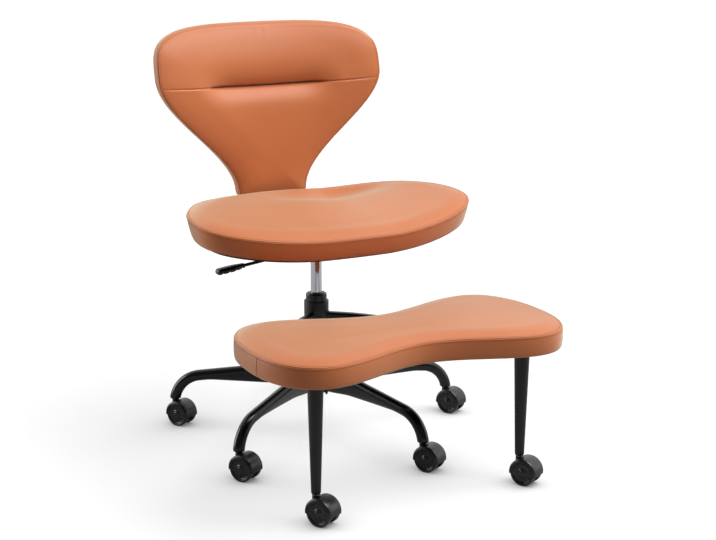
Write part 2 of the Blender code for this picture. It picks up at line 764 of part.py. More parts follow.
def wheel_profile():
    """Section of one wheel, its outer face upward: hub, recessed disc, rim and rounded tread."""
    bore = AXLE_RADIUS + RUNNING_GAP
    rim_inner = WHEEL_RADIUS - WHEEL_RIM_WIDTH
    return [
        (bore, WHEEL_WIDTH),
        (WHEEL_HUB_RADIUS, WHEEL_WIDTH),
        (WHEEL_HUB_RADIUS + WHEEL_RECESS, WHEEL_WIDTH - WHEEL_RECESS),
        (rim_inner, WHEEL_WIDTH - WHEEL_RECESS),
        (rim_inner + WHEEL_RECESS, WHEEL_WIDTH),
        (WHEEL_RADIUS - WHEEL_EDGE, WHEEL_WIDTH),
        (WHEEL_RADIUS, WHEEL_WIDTH - WHEEL_EDGE),
        (WHEEL_RADIUS, 0.0),
        (bore, 0.0),
    ]


def stem_profile():
    lower_end = STEM_BOSS_TOP - STEM_SEAT_DEPTH + GAP
    flange_bottom = STEM_BOSS_TOP + GAP
    flange_top = flange_bottom + STEM_FLANGE_THICKNESS
    top = LEG_FOOT + STEM_LENGTH_IN_LEG
    return [
        (0.0, top),
        (STEM_UPPER_RADIUS - STEM_CHAMFER, top),
        (STEM_UPPER_RADIUS, top - STEM_CHAMFER),
        (STEM_UPPER_RADIUS, flange_top),
        (STEM_FLANGE_RADIUS, flange_top),
        (STEM_FLANGE_RADIUS, flange_bottom),
        (STEM_LOWER_RADIUS, flange_bottom),
        (STEM_LOWER_RADIUS, lower_end),
        (0.0, lower_end),
    ]


def build_caster(number, x, y, body_mesh, parent):
    """One twin-wheel caster; its empty stands on the stem's axis at floor level."""
    pivot = empty(f"caster_{number}_pivot", (x, y, 0.0), CASTER_HEADING, parent)
    turned(f"caster_{number}_stem", stem_profile(), "steel", pivot, steps=STEM_STEPS)
    piece(f"caster_{number}_body", body_mesh, "black_nylon", pivot)
    for side, sign in (("left", 1.0), ("right", -1.0)):
        place = (CASTER_TRAIL, sign * WHEEL_INNER_FACE, WHEEL_RADIUS)
        lean = (-sign * math.pi / 2, 0.0, 0.0)
        turned(f"caster_{number}_wheel_{side}", wheel_profile(), "wheel_rubber", pivot, place, lean, WHEEL_STEPS)


def build_casters(parent):
    body_mesh = caster_body_mesh()
    places = []
    for i in range(LEG_COUNT):
        turn = BASE_TURN + 2.0 * math.pi * i / LEG_COUNT
        places.append((BASE_RADIUS * math.cos(turn), BASE_RADIUS * math.sin(turn)))
    places += [(side * FOOT_LEG_SPACING / 2, -FOOT_LEG_REACH) for side in (-1.0, 1.0)]
    for number, (x, y) in enumerate(places, start=1):
        build_caster(number, x, y, body_mesh, parent)


# Footrest


def foot_outline():
    """Plan of the footrest: long superellipse whose depth draws in at the waist."""
    points = []
    for angle in even_angles(OUTLINE_SAMPLES, -math.pi / 2):
        x, level = power_point(angle, FOOT_LENGTH / 2, 1.0, FOOT_END_POWER)
        lobe = blend(abs(x) / FOOT_LOBE_PITCH)
        depth = FOOT_WAIST_DEPTH + (FOOT_LOBE_DEPTH - FOOT_WAIST_DEPTH) * lobe
        points.append((x, -FOOT_REACH + level * depth / 2))
    return even_points(points, PAD_POINTS)


def foot_spine(point):
    limit = FOOT_LENGTH / 2 - FOOT_LOBE_DEPTH / 2
    return (min(max(point[0], -limit), limit), -FOOT_REACH)


def foot_place(x, y, height, reached):
    """Lay a plan point level at the seam's height."""
    return (x, y, FOOT_SEAM_HEIGHT + height)


def build_footrest_cushion(parent):
    rings = cushion_rings(FOOT_BOXING, FOOT_CROWN, FOOT_BOARD_INSET)
    mesh = pad("footrest_cushion", foot_outline(), foot_spine, rings, FOOT_CROWN, foot_place)
    piece("footrest_cushion", mesh, "tan_leather", parent)


def arm_path(side):
    """Return the arm's centre points in plan: out of the sleeve at a wide angle, then forward."""
    start = Vector((math.sin(ARM_SPREAD), -math.cos(ARM_SPREAD))) * (SLEEVE_RADIUS - ARM_WIDTH / 4)
    leave = Vector((math.sin(ARM_SPREAD), -math.cos(ARM_SPREAD))) * ARM_RUN_OUT
    end = Vector((ARM_END_X, -ARM_END_REACH))
    controls = (start, start + leave, end + Vector((0.0, ARM_RUN_OUT)), end)
    points = []
    for i in range(ARM_STEPS + 1):
        t = i / ARM_STEPS
        a, b, c, d = ((1 - t) ** 3, 3 * t * (1 - t) ** 2, 3 * t * t * (1 - t), t ** 3)
        here = a * controls[0] + b * controls[1] + c * controls[2] + d * controls[3]
        points.append(Vector((side * here.x, here.y)))
    return points


def build_arm(name, side, parent):
    """A flat-oval arm that climbs to the board under the cushion at its far end."""
    path = arm_path(side)
    climb = FOOT_BOARD_BOTTOM - GAP - ARM_TOP
    rings = []
    for i, here in enumerate(path):
        before, after = path[max(i - 1, 0)], path[min(i + 1, len(path) - 1)]
        along = (after - before).normalized()
        across = Vector((-along.y, along.x))
        climbed = (i / ARM_STEPS - ARM_CLIMB_START) / (ARM_CLIMB_END - ARM_CLIMB_START)
        middle = ARM_TOP - ARM_HEIGHT / 2 + climb * blend(climbed)
        ring = []
        for angle in even_angles(ARM_SIDES):
            sideways, up = power_point(angle, ARM_WIDTH / 2, ARM_HEIGHT / 2, ARM_POWER)
            point = here + across * sideways
            ring.append(Vector((point.x, point.y, middle + up)))
        rings.append(ring)
    sleeve = cylinder("sleeve_cutter", SLEEVE_RADIUS + GAP, SLEEVE_BOTTOM, SLEEVE_TOP, 2 * COLUMN_STEPS)
    mesh = combined(name, loft(name, rings), [("DIFFERENCE", sleeve)])
    piece(name, mesh, "satin_black", parent)


def build_footrest_leg(name, x, parent):
    top = FOOT_BOARD_BOTTOM - GAP - FOOT_PLATE_THICKNESS - GAP
    leg = [
        (0.0, LEG_FOOT + LEG_SOCKET_DEPTH),
        (LEG_SOCKET_RADIUS, LEG_FOOT + LEG_SOCKET_DEPTH),
        (LEG_SOCKET_RADIUS, LEG_FOOT),
        (FOOT_LEG_FOOT_RADIUS - FOOT_LEG_ROUNDING, LEG_FOOT),
        (FOOT_LEG_FOOT_RADIUS, LEG_FOOT + FOOT_LEG_ROUNDING),
        (FOOT_LEG_TOP_RADIUS, top),
        (0.0, top),
    ]
    turned(name, leg[::-1], "satin_black", parent, (x, -FOOT_LEG_REACH, 0.0))


def rounded_rectangle(width, depth, corner, steps=4):
    points = []
    for index, (sx, sy) in enumerate(((1, 1), (-1, 1), (-1, -1), (1, -1))):
        for i in range(steps + 1):
            angle = math.pi / 2 * (index + i / steps)
            points.append((sx * (width / 2 - corner) + corner * math.cos(angle),
                           sy * (depth / 2 - corner) + corner * math.sin(angle)))
    return points


def build_footrest(parent):
    sleeve_bore = SLEEVE_RADIUS - SLEEVE_WALL
    sleeve = ring_profile(SLEEVE_RADIUS, sleeve_bore, SLEEVE_BOTTOM, SLEEVE_TOP, RING_EDGE)
    turned("footrest_sleeve", sleeve, "satin_black", parent)
    bush = ring_profile(sleeve_bore - GAP, TUBE_RADIUS + RUNNING_GAP, SLEEVE_BOTTOM, SLEEVE_TOP + GAP)
    turned("footrest_bush", bush, "black_nylon", parent)
    rings = board_rings(FOOT_BOXING + GAP, FOOT_BOARD_THICKNESS, FOOT_BOARD_INSET)
    board = pad("footrest_board", foot_outline(), foot_spine, rings, FOOT_CROWN, foot_place)
    piece("footrest_board", board, "plywood", parent)
    build_footrest_cushion(parent)
    plate_top = FOOT_BOARD_BOTTOM - GAP
    for side_name, side in (("left", 1.0), ("right", -1.0)):
        build_arm(f"footrest_arm_{side_name}", side, parent)
        x = side * FOOT_LEG_SPACING / 2
        outline = rounded_rectangle(FOOT_PLATE_SIZE, FOOT_PLATE_SIZE, FOOT_PLATE_CORNER)
        plate = prism("footrest_leg_plate", outline, plate_top - FOOT_PLATE_THICKNESS, plate_top)
        piece(f"footrest_leg_plate_{side_name}", plate, "satin_black", parent, (x, -FOOT_LEG_REACH, 0.0))
        build_footrest_leg(f"footrest_leg_{side_name}", x, parent)


# Seat


def seat_outline():
    """Plan of the seat: a wide oval, fuller behind the middle line than in front of it."""
    points = []
    for angle in even_angles(OUTLINE_SAMPLES, -math.pi / 2):
        front = math.sin(angle) < 0.0
        depth = SEAT_FRONT_DEPTH if front else SEAT_REAR_DEPTH
        power = SEAT_FRONT_POWER if front else SEAT_REAR_POWER
        x, y = power_point(angle, SEAT_WIDTH / 2, depth, power)
        points.append((x, y - SEAT_REACH))
    return even_points(points, PAD_POINTS)


def seat_spine(point):
    return (min(max(point[0], -SEAT_SPINE), SEAT_SPINE), -SEAT_REACH + (SEAT_REAR_DEPTH - SEAT_FRONT_DEPTH) / 2)


def seat_plane(y):
    """Height of the seam on the centre line; the seat falls gently toward its front edge."""
    return SEAT_SEAM_HEIGHT + SEAT_SLOPE * (y + SEAT_REACH)


def seat_surface(x, y):
    """Height of the seam's curved sheet, which lifts toward both sides."""
    flat = PLATE_WIDTH / 2
    side = max(abs(x) - flat, 0.0) / (SEAT_WIDTH / 2 - flat)
    return seat_plane(y) + SEAT_SIDE_RISE * side ** SEAT_RISE_POWER


def seat_dish(x, y):
    """Depth of the hollow that the sitter's weight rests in."""
    across = x / SEAT_DISH_WIDTH
    along = (y + SEAT_DISH_REACH) / SEAT_DISH_DEPTH
    return SEAT_DISH * math.exp(-across * across - along * along)


def seat_place(x, y, height, reached):
    """Lay a plan point on the seat's sheet, hollowed where the crown has risen."""
    return (x, y, seat_surface(x, y) + height - seat_dish(x, y) * reached)


def build_seat(parent):
    rings = cushion_rings(SEAT_BOXING, SEAT_CROWN, SHELL_INSET)
    cushion = pad("seat_cushion", seat_outline(), seat_spine, rings, SEAT_CROWN, seat_place)
    piece("seat_cushion", cushion, "tan_leather", parent)
    shell_rings = board_rings(SHELL_TOP_DEPTH, SHELL_THICKNESS, SHELL_INSET)
    shell = pad("seat_shell", seat_outline(), seat_spine, shell_rings, SEAT_CROWN, seat_place)
    piece("seat_shell", shell, "satin_black", parent)


def mechanism_top(y):
    """Underside of the seat shell on the flat middle, which the mounting plate lies against."""
    return seat_plane(y) - PLATE_TOP_DEPTH


def tilted_prism(name, outline, bottom_at, top_at):
    """Extrude an outline between two heights that may change with y."""
    return loft(name, [[Vector((x, y, level(y))) for x, y in outline] for level in (bottom_at, top_at)])


def build_mechanism(parent):
    outline = rounded_rectangle(PLATE_WIDTH, PLATE_DEPTH, PLATE_CORNER)
    plate = tilted_prism("mounting_plate", outline, lambda y: mechanism_top(y) - PLATE_THICKNESS, mechanism_top)
    piece("mounting_plate", plate, "satin_black", parent)

    def tub_rim(y):
        return seat_plane(y) - TUB_RIM_DEPTH

    outer = rounded_rectangle(TUB_WIDTH, TUB_DEPTH, TUB_CORNER)
    inner = rounded_rectangle(TUB_WIDTH - 2 * TUB_WALL, TUB_DEPTH - 2 * TUB_WALL, TUB_CORNER - TUB_WALL)
    outside = tilted_prism("tub", outer, lambda y: TUB_BOTTOM, tub_rim)
    hollow = tilted_prism("tub_hollow", inner, lambda y: TUB_BOTTOM + TUB_WALL, lambda y: tub_rim(y) + TUB_WALL)
    hole_radius = SOCKET_RADIUS + TUB_FLOOR_HOLE_GAP
    hole = cylinder("tub_hole", hole_radius, TUB_BOTTOM - TUB_WALL, TUB_BOTTOM + 2 * TUB_WALL)
    notch_half = LEVER_RADIUS / math.cos(LEVER_SWEEP) + TUB_WALL / 2 * math.tan(LEVER_SWEEP) + GAP
    notch_bottom = LEVER_HEIGHT - LEVER_RADIUS / math.cos(LEVER_SWING) - TUB_WALL / 2 * math.tan(LEVER_SWING) - GAP
    ends = (LEVER_PIVOT_X - TUB_WALL, LEVER_PIVOT_X + TUB_WALL)
    middle = lever_y(LEVER_PIVOT_X)
    notch_outline = [(ends[0], middle - notch_half), (ends[1], middle - notch_half),
                     (ends[1], middle + notch_half), (ends[0], middle + notch_half)]
    notch = prism("tub_notch", notch_outline, notch_bottom, LEVER_HEIGHT + TUB_WIDTH)
    changes = [("DIFFERENCE", hollow), ("DIFFERENCE", hole), ("DIFFERENCE", notch)]
    piece("mechanism_housing", combined("mechanism_housing", outside, changes), "satin_black", parent)

    taper = ROD_TAPER_DROP / ROD_TAPER_LENGTH
    taper_start = ROD_TOP - ROD_TAPER_LENGTH

    def bore(z):
        return ROD_RADIUS + GAP - max(z - taper_start, 0.0) * taper

    socket = [
        (SOCKET_RADIUS, SOCKET_TOP),
        (SOCKET_RADIUS, SOCKET_BOTTOM),
        (bore(SOCKET_BOTTOM), SOCKET_BOTTOM),
        (bore(taper_start), taper_start),
        (bore(SOCKET_TOP), SOCKET_TOP),
    ]
    turned("taper_socket", socket, "steel", parent)


# Lever


def lever_y(x):
    """The lever swings a little forward of square as it runs out to the side."""
    return x * math.tan(LEVER_SWEEP)


def lever_z(x):
    """Height of the lever's centre line: level over the valve, a cranked fall, then nearly level."""
    corners = ((LEVER_KNEE_X, LEVER_HEIGHT), (LEVER_BEND_X, LEVER_BEND_HEIGHT), (LEVER_END_X, LEVER_END_HEIGHT))
    for (x0, z0), (x1, z1) in zip(corners, corners[1:]):
        if x >= x1:
            return z0 + (z1 - z0) * ramp((x - x0) / (x1 - x0))
    fall = (corners[2][1] - corners[1][1]) / (corners[2][0] - corners[1][0])
    return LEVER_END_HEIGHT + fall * (x - LEVER_END_X)


def lever_pivot():
    """Return the hinge's place in the housing's wall."""
    return Vector((LEVER_PIVOT_X, lever_y(LEVER_PIVOT_X), LEVER_HEIGHT))


def build_lever(parent):
    """The rod passes over the valve, runs out through the housing and drops to the grip."""
    stations = (LEVER_TIP_X, LEVER_KNEE_X, LEVER_KNEE_X - LEVER_BEND_EASE / 2, LEVER_BEND_X + LEVER_BEND_EASE,
                LEVER_BEND_X - LEVER_BEND_EASE, GRIP_START_X + 2 * GAP)
    points = [Vector((x, lever_y(x), lever_z(x))) - lever_pivot() for x in stations]
    piece("lever_rod", tube("lever_rod", points, LEVER_RADIUS), "satin_black", parent)


def grip_half_size(share):
    """Return half the grip's width and height: a neck that swells to a paddle with a round end."""
    rounding = ramp((share - GRIP_ROUND_START) / (1.0 - GRIP_ROUND_START))
    end = math.sqrt(1.0 - GRIP_ROUND_DROP * rounding * rounding)
    swell = blend(share / GRIP_SWELL_END)
    width = GRIP_NECK + (1.0 - GRIP_NECK) * swell
    height = GRIP_NECK_THICKNESS + (1.0 - GRIP_NECK_THICKNESS) * swell
    return GRIP_WIDTH / 2 * width * end, GRIP_THICKNESS / 2 * height * end


def build_grip(parent):
    """A flat paddle with finger notches along its lower face."""
    steps = GRIP_STEPS_PER_NOTCH * GRIP_NOTCHES
    rings = []
    for i in range(steps + 1):
        share = i / steps
        x = GRIP_START_X + (GRIP_END_X - GRIP_START_X) * share
        centre = Vector((x, lever_y(x), lever_z(x))) - lever_pivot()
        half_width, half_height = grip_half_size(share)
        notch = GRIP_NOTCH_DEPTH * max(math.sin(2.0 * math.pi * GRIP_NOTCHES * share), 0.0)
        ring = []
        for angle in even_angles(GRIP_SIDES):
            sideways, up = power_point(angle, half_width, half_height, GRIP_POWER)
            ring.append(centre + Vector((0.0, sideways, up + notch if up < 0.0 else up)))
        rings.append(ring)
    piece("lever_grip", loft("lever_grip", rings), "black_nylon", parent)


# Backrest


def back_half_width(z):
    """Half the backrest's width: a straight neck that flares into the wide top."""
    flare = blend((z - BACK_FLARE_START) / (BACK_FLARE_END - BACK_FLARE_START))
    return BACK_NECK_WIDTH / 2 + (BACK_WIDTH - BACK_NECK_WIDTH) / 2 * flare


def back_outline():
    """Front view as (x, z): neck corners, flared sides, then a broad top with full corners."""
    count = OUTLINE_SAMPLES // 6
    side_start = BACK_BOTTOM + BACK_NECK_CORNER
    right = []
    for i in range(1, count + 1):
        turn = math.pi / 2 * (i / count - 1.0)
        x, drop = power_point(turn, BACK_NECK_WIDTH / 2, BACK_NECK_CORNER, BACK_NECK_POWER)
        right.append((x, side_start + drop))
    for i in range(1, count + 1):
        z = side_start + (BACK_FLARE_END - side_start) * i / count
        right.append((back_half_width(z), z))
    for i in range(1, count):
        x, rise = power_point(math.pi / 2 * i / count, BACK_WIDTH / 2, BACK_TOP - BACK_FLARE_END, BACK_TOP_POWER)
        right.append((x, BACK_FLARE_END + rise))
    left = [(-x, z) for x, z in reversed(right)]
    return even_points([(0.0, BACK_BOTTOM)] + right + [(0.0, BACK_TOP)] + left, PAD_POINTS)


def back_spine(point):
    """The fold across the top and the neck's middle line, which the rings close in on."""
    x, z = point
    reach = BACK_FOLD_WIDTH / 2
    neck_end = BACK_BOTTOM + BACK_NECK_WIDTH / 2
    if z >= BACK_FOLD_HEIGHT:
        return (min(max(x * BACK_SPINE_SHARE, -reach), reach), BACK_FOLD_HEIGHT)
    fall = (BACK_FOLD_HEIGHT - z) / (BACK_FOLD_HEIGHT - BACK_FLARE_START)
    across = reach * max(1.0 - fall / BACK_SPINE_TAPER, 0.0)
    down = ramp((fall - BACK_SPINE_DROP) / (1.0 - BACK_SPINE_DROP))
    return (math.copysign(across, x), BACK_FOLD_HEIGHT + (neck_end - BACK_FOLD_HEIGHT) * down)


def back_face(x, z):
    """Rearward place of the front face: raked, curved round the sitter and gently bowed."""
    bow = (z - BACK_BOW_HEIGHT) / BACK_BOW_SPAN
    wrap = x / BACK_WRAP_WIDTH
    return BACK_REACH + BACK_RAKE * (z - BACK_FACE_HEIGHT) - BACK_WRAP * wrap * wrap + BACK_BOW * bow * bow


def back_fold(x, z):
    """Depth of the tuck that divides the head roll from the lower pad."""
    rise = z - BACK_FOLD_HEIGHT
    spread = rise / (BACK_FOLD_ABOVE if rise > 0.0 else BACK_FOLD_BELOW)
    start, stop = (share * BACK_FOLD_WIDTH for share in BACK_FOLD_ENDS)
    ends = 1.0 - blend((abs(x) - start) / (stop - start))
    return BACK_FOLD_DEPTH * math.exp(-spread * spread) * ends


def back_place(x, z, height, reached):
    """Stand a plan point up on the backrest's sheet, with heights toward the sitter."""
    return (x, back_face(x, z) - height + back_fold(x, z) * reached, z)


def build_back(parent):
    rings = cushion_rings(BACK_BOXING, BACK_CROWN, BACK_BOARD_INSET)
    cushion = pad("back_cushion", back_outline(), back_spine, rings, BACK_CROWN, back_place)
    piece("back_cushion", cushion, "tan_leather", parent)
    rings = board_rings(BACK_BOARD_DEPTH, BACK_BOARD_THICKNESS, BACK_BOARD_INSET)
    board = pad("back_board", back_outline(), back_spine, rings, BACK_CROWN, back_place)
    piece("back_board", board, "satin_black", parent)


def bar_centre_line():
    """Points (y, z) of the bar's middle: along the seat shell, level to the bend, up the back."""
    half = BAR_THICKNESS / 2
    shell_end = SEAT_REAR_DEPTH - SEAT_REACH - SHELL_INSET
    level = mechanism_top(shell_end) - half
    points = [(BAR_START_REACH, mechanism_top(BAR_START_REACH) - half), (shell_end, level)]

    def rear_line(z):
        return back_face(0.0, z) + BAR_FRONT_DEPTH + half

    upright_start = level + BAR_BEND_RADIUS
    corner = rear_line(upright_start)
    for i in range(BAR_STEPS + 1):
        angle = math.pi / 2 * i / BAR_STEPS
        points.append((corner - BAR_BEND_RADIUS + BAR_BEND_RADIUS * math.sin(angle),
                       level + BAR_BEND_RADIUS * (1.0 - math.cos(angle))))
    for i in range(1, BAR_STEPS + 1):
        z = upright_start + (BAR_TOP - upright_start) * i / BAR_STEPS
        points.append((rear_line(z), z))
    return points


def build_bar(parent):
    half = BAR_THICKNESS / 2
    line = [Vector(point) for point in bar_centre_line()]
    above, below = [], []
    for i, here in enumerate(line):
        along = (line[min(i + 1, len(line) - 1)] - line[max(i - 1, 0)]).normalized()
        normal = Vector((-along.y, along.x))
        above.append(here + normal * half)
        below.append(here - normal * half)
    mesh = side_prism("back_bar", [tuple(point) for point in above + below[::-1]], BAR_WIDTH / 2)
    mesh.transform(Matrix.Rotation(math.pi / 2, 4, "Z"))
    piece("back_bar", mesh, "black_powder_coat", parent)


# Assembly


def centre_on_footprint(root):
    """Move the chair so that the middle of its bounding box is over the origin."""
    bpy.context.view_layer.update()
    seen = bpy.context.evaluated_depsgraph_get()
    corners = []
    for item in collection(PARTS).objects:
        if item.type == "MESH":
            shape = item.evaluated_get(seen)
            corners += [shape.matrix_world @ Vector(corner) for corner in shape.bound_box]
    for axis in (0, 1):
        values = [corner[axis] for corner in corners]
        root.location[axis] = -(min(values) + max(values)) / 2
    bpy.context.view_layer.update()


def main():
    clear_scene()
    root = empty("chair")
    base = empty("base_frame", parent=root)
    footrest = empty("footrest_pivot", parent=root)
    seat = empty("seat_pivot", parent=root)
    lever = empty("lever_pivot", lever_pivot(), parent=seat)
    build_base(base)
    build_column(base)
    build_rod(seat)
    build_casters(base)
    build_footrest(footrest)
    build_seat(seat)
    build_mechanism(seat)
    build_lever(lever)
    build_grip(lever)
    build_back(seat)
    build_bar(seat)
    centre_on_footprint(root)
    print("column axis at", tuple(round(value, 5) for value in root.location))


main()
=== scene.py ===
"""Looks of the rolling meditation chair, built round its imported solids.

Metres, +Z up. The chair faces -Y and the sitter's left is +X. Places on the chair are taken from
the column's axis, and sizes that a solid already has are read from the frame.
"""

import json
import logging
import math
from collections.abc import Iterable, Sequence
from dataclasses import dataclass, field
from enum import Enum

import bmesh
import bpy
import numpy as np
from mathutils import Matrix, Vector


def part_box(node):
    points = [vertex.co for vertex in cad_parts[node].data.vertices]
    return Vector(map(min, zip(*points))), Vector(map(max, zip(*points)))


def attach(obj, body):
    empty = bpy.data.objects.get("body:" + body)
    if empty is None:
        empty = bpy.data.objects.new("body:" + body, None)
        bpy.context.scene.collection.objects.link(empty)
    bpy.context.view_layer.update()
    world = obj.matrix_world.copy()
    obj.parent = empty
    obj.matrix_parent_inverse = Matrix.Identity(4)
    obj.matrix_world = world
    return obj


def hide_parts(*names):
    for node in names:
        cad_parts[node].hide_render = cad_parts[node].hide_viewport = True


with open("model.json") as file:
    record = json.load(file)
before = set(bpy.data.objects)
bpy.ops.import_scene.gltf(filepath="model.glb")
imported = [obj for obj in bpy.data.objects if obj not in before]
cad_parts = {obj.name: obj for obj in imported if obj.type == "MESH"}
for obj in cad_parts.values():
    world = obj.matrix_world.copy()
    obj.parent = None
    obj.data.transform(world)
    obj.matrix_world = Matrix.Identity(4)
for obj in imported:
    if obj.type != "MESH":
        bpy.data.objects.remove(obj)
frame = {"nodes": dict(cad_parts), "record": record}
log = logging.getLogger("chair")

# Short names for the types in the hints

Array = np.ndarray
Shape = bmesh.types.BMesh
Edge = bmesh.types.BMEdge
Corner = bmesh.types.BMVert
Piece = bpy.types.Object
Tree = bpy.types.NodeTree
Node = bpy.types.Node
Socket = bpy.types.NodeSocket
Point = tuple[float, float]
Triple = tuple[float, float, float]
Colour = tuple[float, float, float, float]

# Numbers that several pieces share

TURN = 2.0 * math.pi
RIGHT_ANGLE = math.pi / 2
MERGE = 0.00001
SHARP = math.radians(38.0)
BOARD_SHARP = math.radians(60.0)
COVER_SHARP = math.radians(75.0)
OUTLINE_POINTS = 1440
SOCKET_RADIUS = 0.0058
SOCKET_DEPTH = 0.0158
SCREW_RADIUS = 0.0058
SCREW_HEIGHT = 0.0034
ROD_END = [(0.8, 0.6), (0.4, 0.92)]
WHITE: Colour = (1.0, 1.0, 1.0, 1.0)


class Slot(Enum):
    """The record's material slots."""

    LEATHER = "tan_leather"
    POWDER_COAT = "black_powder_coat"
    SATIN = "satin_black"
    NYLON = "black_nylon"
    TYRE = "wheel_rubber"
    CHROME = "chrome"
    STEEL = "steel"
    PLYWOOD = "plywood"


# Places read from the frame


def box_centre(node: str) -> Vector:
    """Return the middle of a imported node's box."""
    low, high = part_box(node)
    return (low + high) / 2


def span(node: str) -> Point:
    """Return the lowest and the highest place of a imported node."""
    low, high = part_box(node)
    return low.z, high.z


AXIS = box_centre("gas_lift_rod").to_2d()
BODY_OF = {node: body for body, nodes in frame["record"]["behaviour"]["bodies"].items() for node in nodes}


# Materials


def linear(code: str) -> Colour:
    """Turn an sRGB hex value into a linear colour.

    Args:
        code: Six hex digits.

    Returns:
        Red, green, blue and an alpha of 1.
    """
    parts = [int(code[i:i + 2], 16) / 255.0 for i in (0, 2, 4)]
    return (*(p / 12.92 if p <= 0.04045 else ((p + 0.055) / 1.055) ** 2.4 for p in parts), 1.0)


def add_node(tree: Tree, kind: str, values: dict | None = None, links: dict | None = None,
             **settings: object) -> Node:
    """Add one shader node with its settings, values and links.

    Args:
        tree: The material's or world's node tree.
        kind: The node's type without the words Shader and Node.
        values: Default values of inputs, by name or number.
        links: Output sockets to link to inputs, by name or number.
        **settings: Properties of the node itself.

    Returns:
        The new node.
    """
    made = tree.nodes.new("ShaderNode" + kind)
    for key, value in settings.items():
        setattr(made, key, value)
    for key, value in (values or {}).items():
        made.inputs[key].default_value = value
    for key, socket in (links or {}).items():
        tree.links.new(socket, made.inputs[key])
    return made


def combined(tree: Tree, operation: str, first: Socket, second: Socket | float) -> Socket:
    """Put two values together by a Math node.

    Args:
        tree: The node tree.
        operation: What the node does.
        first: The first value.
        second: The other value, a socket or a number.

    Returns:
        The result.
    """
    if isinstance(second, Socket):
        return add_node(tree, "Math", {}, {0: first, 1: second}, operation=operation).outputs[0]
    return add_node(tree, "Math", {1: second}, {0: first}, operation=operation).outputs[0]


def mapped(tree: Tree, value: Socket, low: float, high: float, start: float = 0.3,
           stop: float = 0.7) -> Socket:
    """Return value with start to stop spread over low to high."""
    numbers = {"From Min": start, "From Max": stop, "To Min": low, "To Max": high}
    return add_node(tree, "MapRange", numbers, {"Value": value}).outputs["Result"]


@dataclass(frozen=True)
class Wiring:
    """A material's nodes while they are wired: its tree, its plain shader and the place on the object."""

    tree: Tree
    shader: Node
    place: Socket

    def set(self, values: dict) -> None:
        """Set inputs of the plain shader."""
        for key, value in values.items():
            self.shader.inputs[key].default_value = value

    def noise(self, size: float, detail: float = 2.0, stretch: Sequence[float] | None = None) -> Socket:
        """Make a noise.

        Args:
            size: How many metres its clouds are across.
            detail: Its finer layers.
            stretch: Factors on the place; a small one draws the clouds out along its axis.

        Returns:
            The noise's value.
        """
        place = self.place
        if stretch is not None:
            place = add_node(self.tree, "Mapping", {"Scale": stretch}, {"Vector": place}).outputs[0]
        values = {"Scale": 1.0 / size, "Detail": detail}
        return add_node(self.tree, "TexNoise", values, {"Vector": place}).outputs["Fac"]

    def bump(self, height: Socket, depth: float, strength: float) -> None:
        """Drive the shader's normal by a height that is depth metres tall."""
        made = add_node(self.tree, "Bump", {"Distance": depth, "Strength": strength}, {"Height": height})
        self.tree.links.new(made.outputs["Normal"], self.shader.inputs["Normal"])

    def gloss(self, value: Socket, least: float, most: float, start: float = 0.3, stop: float = 0.7) -> None:
        """Drive the shader's roughness by value, from least to most."""
        spread = mapped(self.tree, value, least, most, start, stop)
        self.tree.links.new(spread, self.shader.inputs["Roughness"])

    def tint(self, share: Socket, first: str, other: str) -> None:
        """Mix the base colour.

        Args:
            share: How much of the other colour shows, from 0 to 1.
            first: The first colour's hex digits.
            other: The other colour's hex digits.
        """
        mix = add_node(self.tree, "Mix", {6: linear(first), 7: linear(other)}, {"Factor": share},
                       data_type="RGBA")
        self.tree.links.new(mix.outputs[2], self.shader.inputs["Base Color"])


@dataclass(frozen=True)
class Finish:
    """A surface: its name, the record's slot, and the values of its plain shader."""

    name: str
    slot: Slot
    colour: str
    roughness: float
    metallic: float = 0.0
    ior: float = 1.5

    def material(self) -> bpy.types.Material:
        """Make the material, or find it where it is made already.

        Returns:
            The material.
        """
        found = bpy.data.materials.get(self.name)
        if found is not None:
            return found
        made = bpy.data.materials.new(self.name)
        made.use_nodes = True
        tree = made.node_tree
        wiring = Wiring(tree, tree.nodes["Principled BSDF"], add_node(tree, "TexCoord").outputs["Object"])
        wiring.set({"Base Color": linear(self.colour), "Roughness": self.roughness, "Metallic": self.metallic,
                    "IOR": self.ior})
        self.build(wiring)
        return made

    def build(self, wiring: Wiring) -> None:
        """Wire the pattern into the shader; a plain finish has none."""


@dataclass(frozen=True)
class Leather(Finish):
    """Embossed polyurethane leather: pebbled grain, fine creases, and a soft broken shine."""

    worn: str = "C98050"
    worn_share: float = 0.55
    cloud: float = 0.11
    grain: float = 0.0016
    grain_depth: float = 0.00012
    valley: float = 0.22
    crease: float = 0.004
    crease_share: float = 0.25
    sheen: float = 0.85
    sheen_tint: Colour = (0.92, 1.0, 0.76, 1.0)
    sheen_roughness: float = 0.38
    specular: float = 0.36

    def build(self, wiring: Wiring) -> None:
        """Make pebbles from rounded cells, their valleys duller, under clouds of a worn colour.

        Args:
            wiring: The material's nodes.
        """
        tree = wiring.tree
        cells = add_node(tree, "TexVoronoi", {"Scale": 1.0 / self.grain, "Randomness": 0.9},
                         {"Vector": wiring.place}, feature="DISTANCE_TO_EDGE").outputs["Distance"]
        pebble = mapped(tree, cells, 0.0, 1.0, 0.0, self.valley)
        clouds = wiring.noise(self.cloud, 3.0)
        wiring.tint(mapped(tree, clouds, 0.0, self.worn_share), self.colour, self.worn)
        creases = combined(tree, "MULTIPLY", wiring.noise(self.crease, 4.0), self.crease_share)
        wiring.bump(combined(tree, "ADD", pebble, creases), self.grain_depth, 0.35)
        wiring.gloss(pebble, self.roughness + 0.08, self.roughness - 0.02, 0.0, 1.0)
        wiring.set({"Sheen Weight": self.sheen, "Sheen Tint": self.sheen_tint,
                    "Sheen Roughness": self.sheen_roughness, "Specular IOR Level": self.specular})


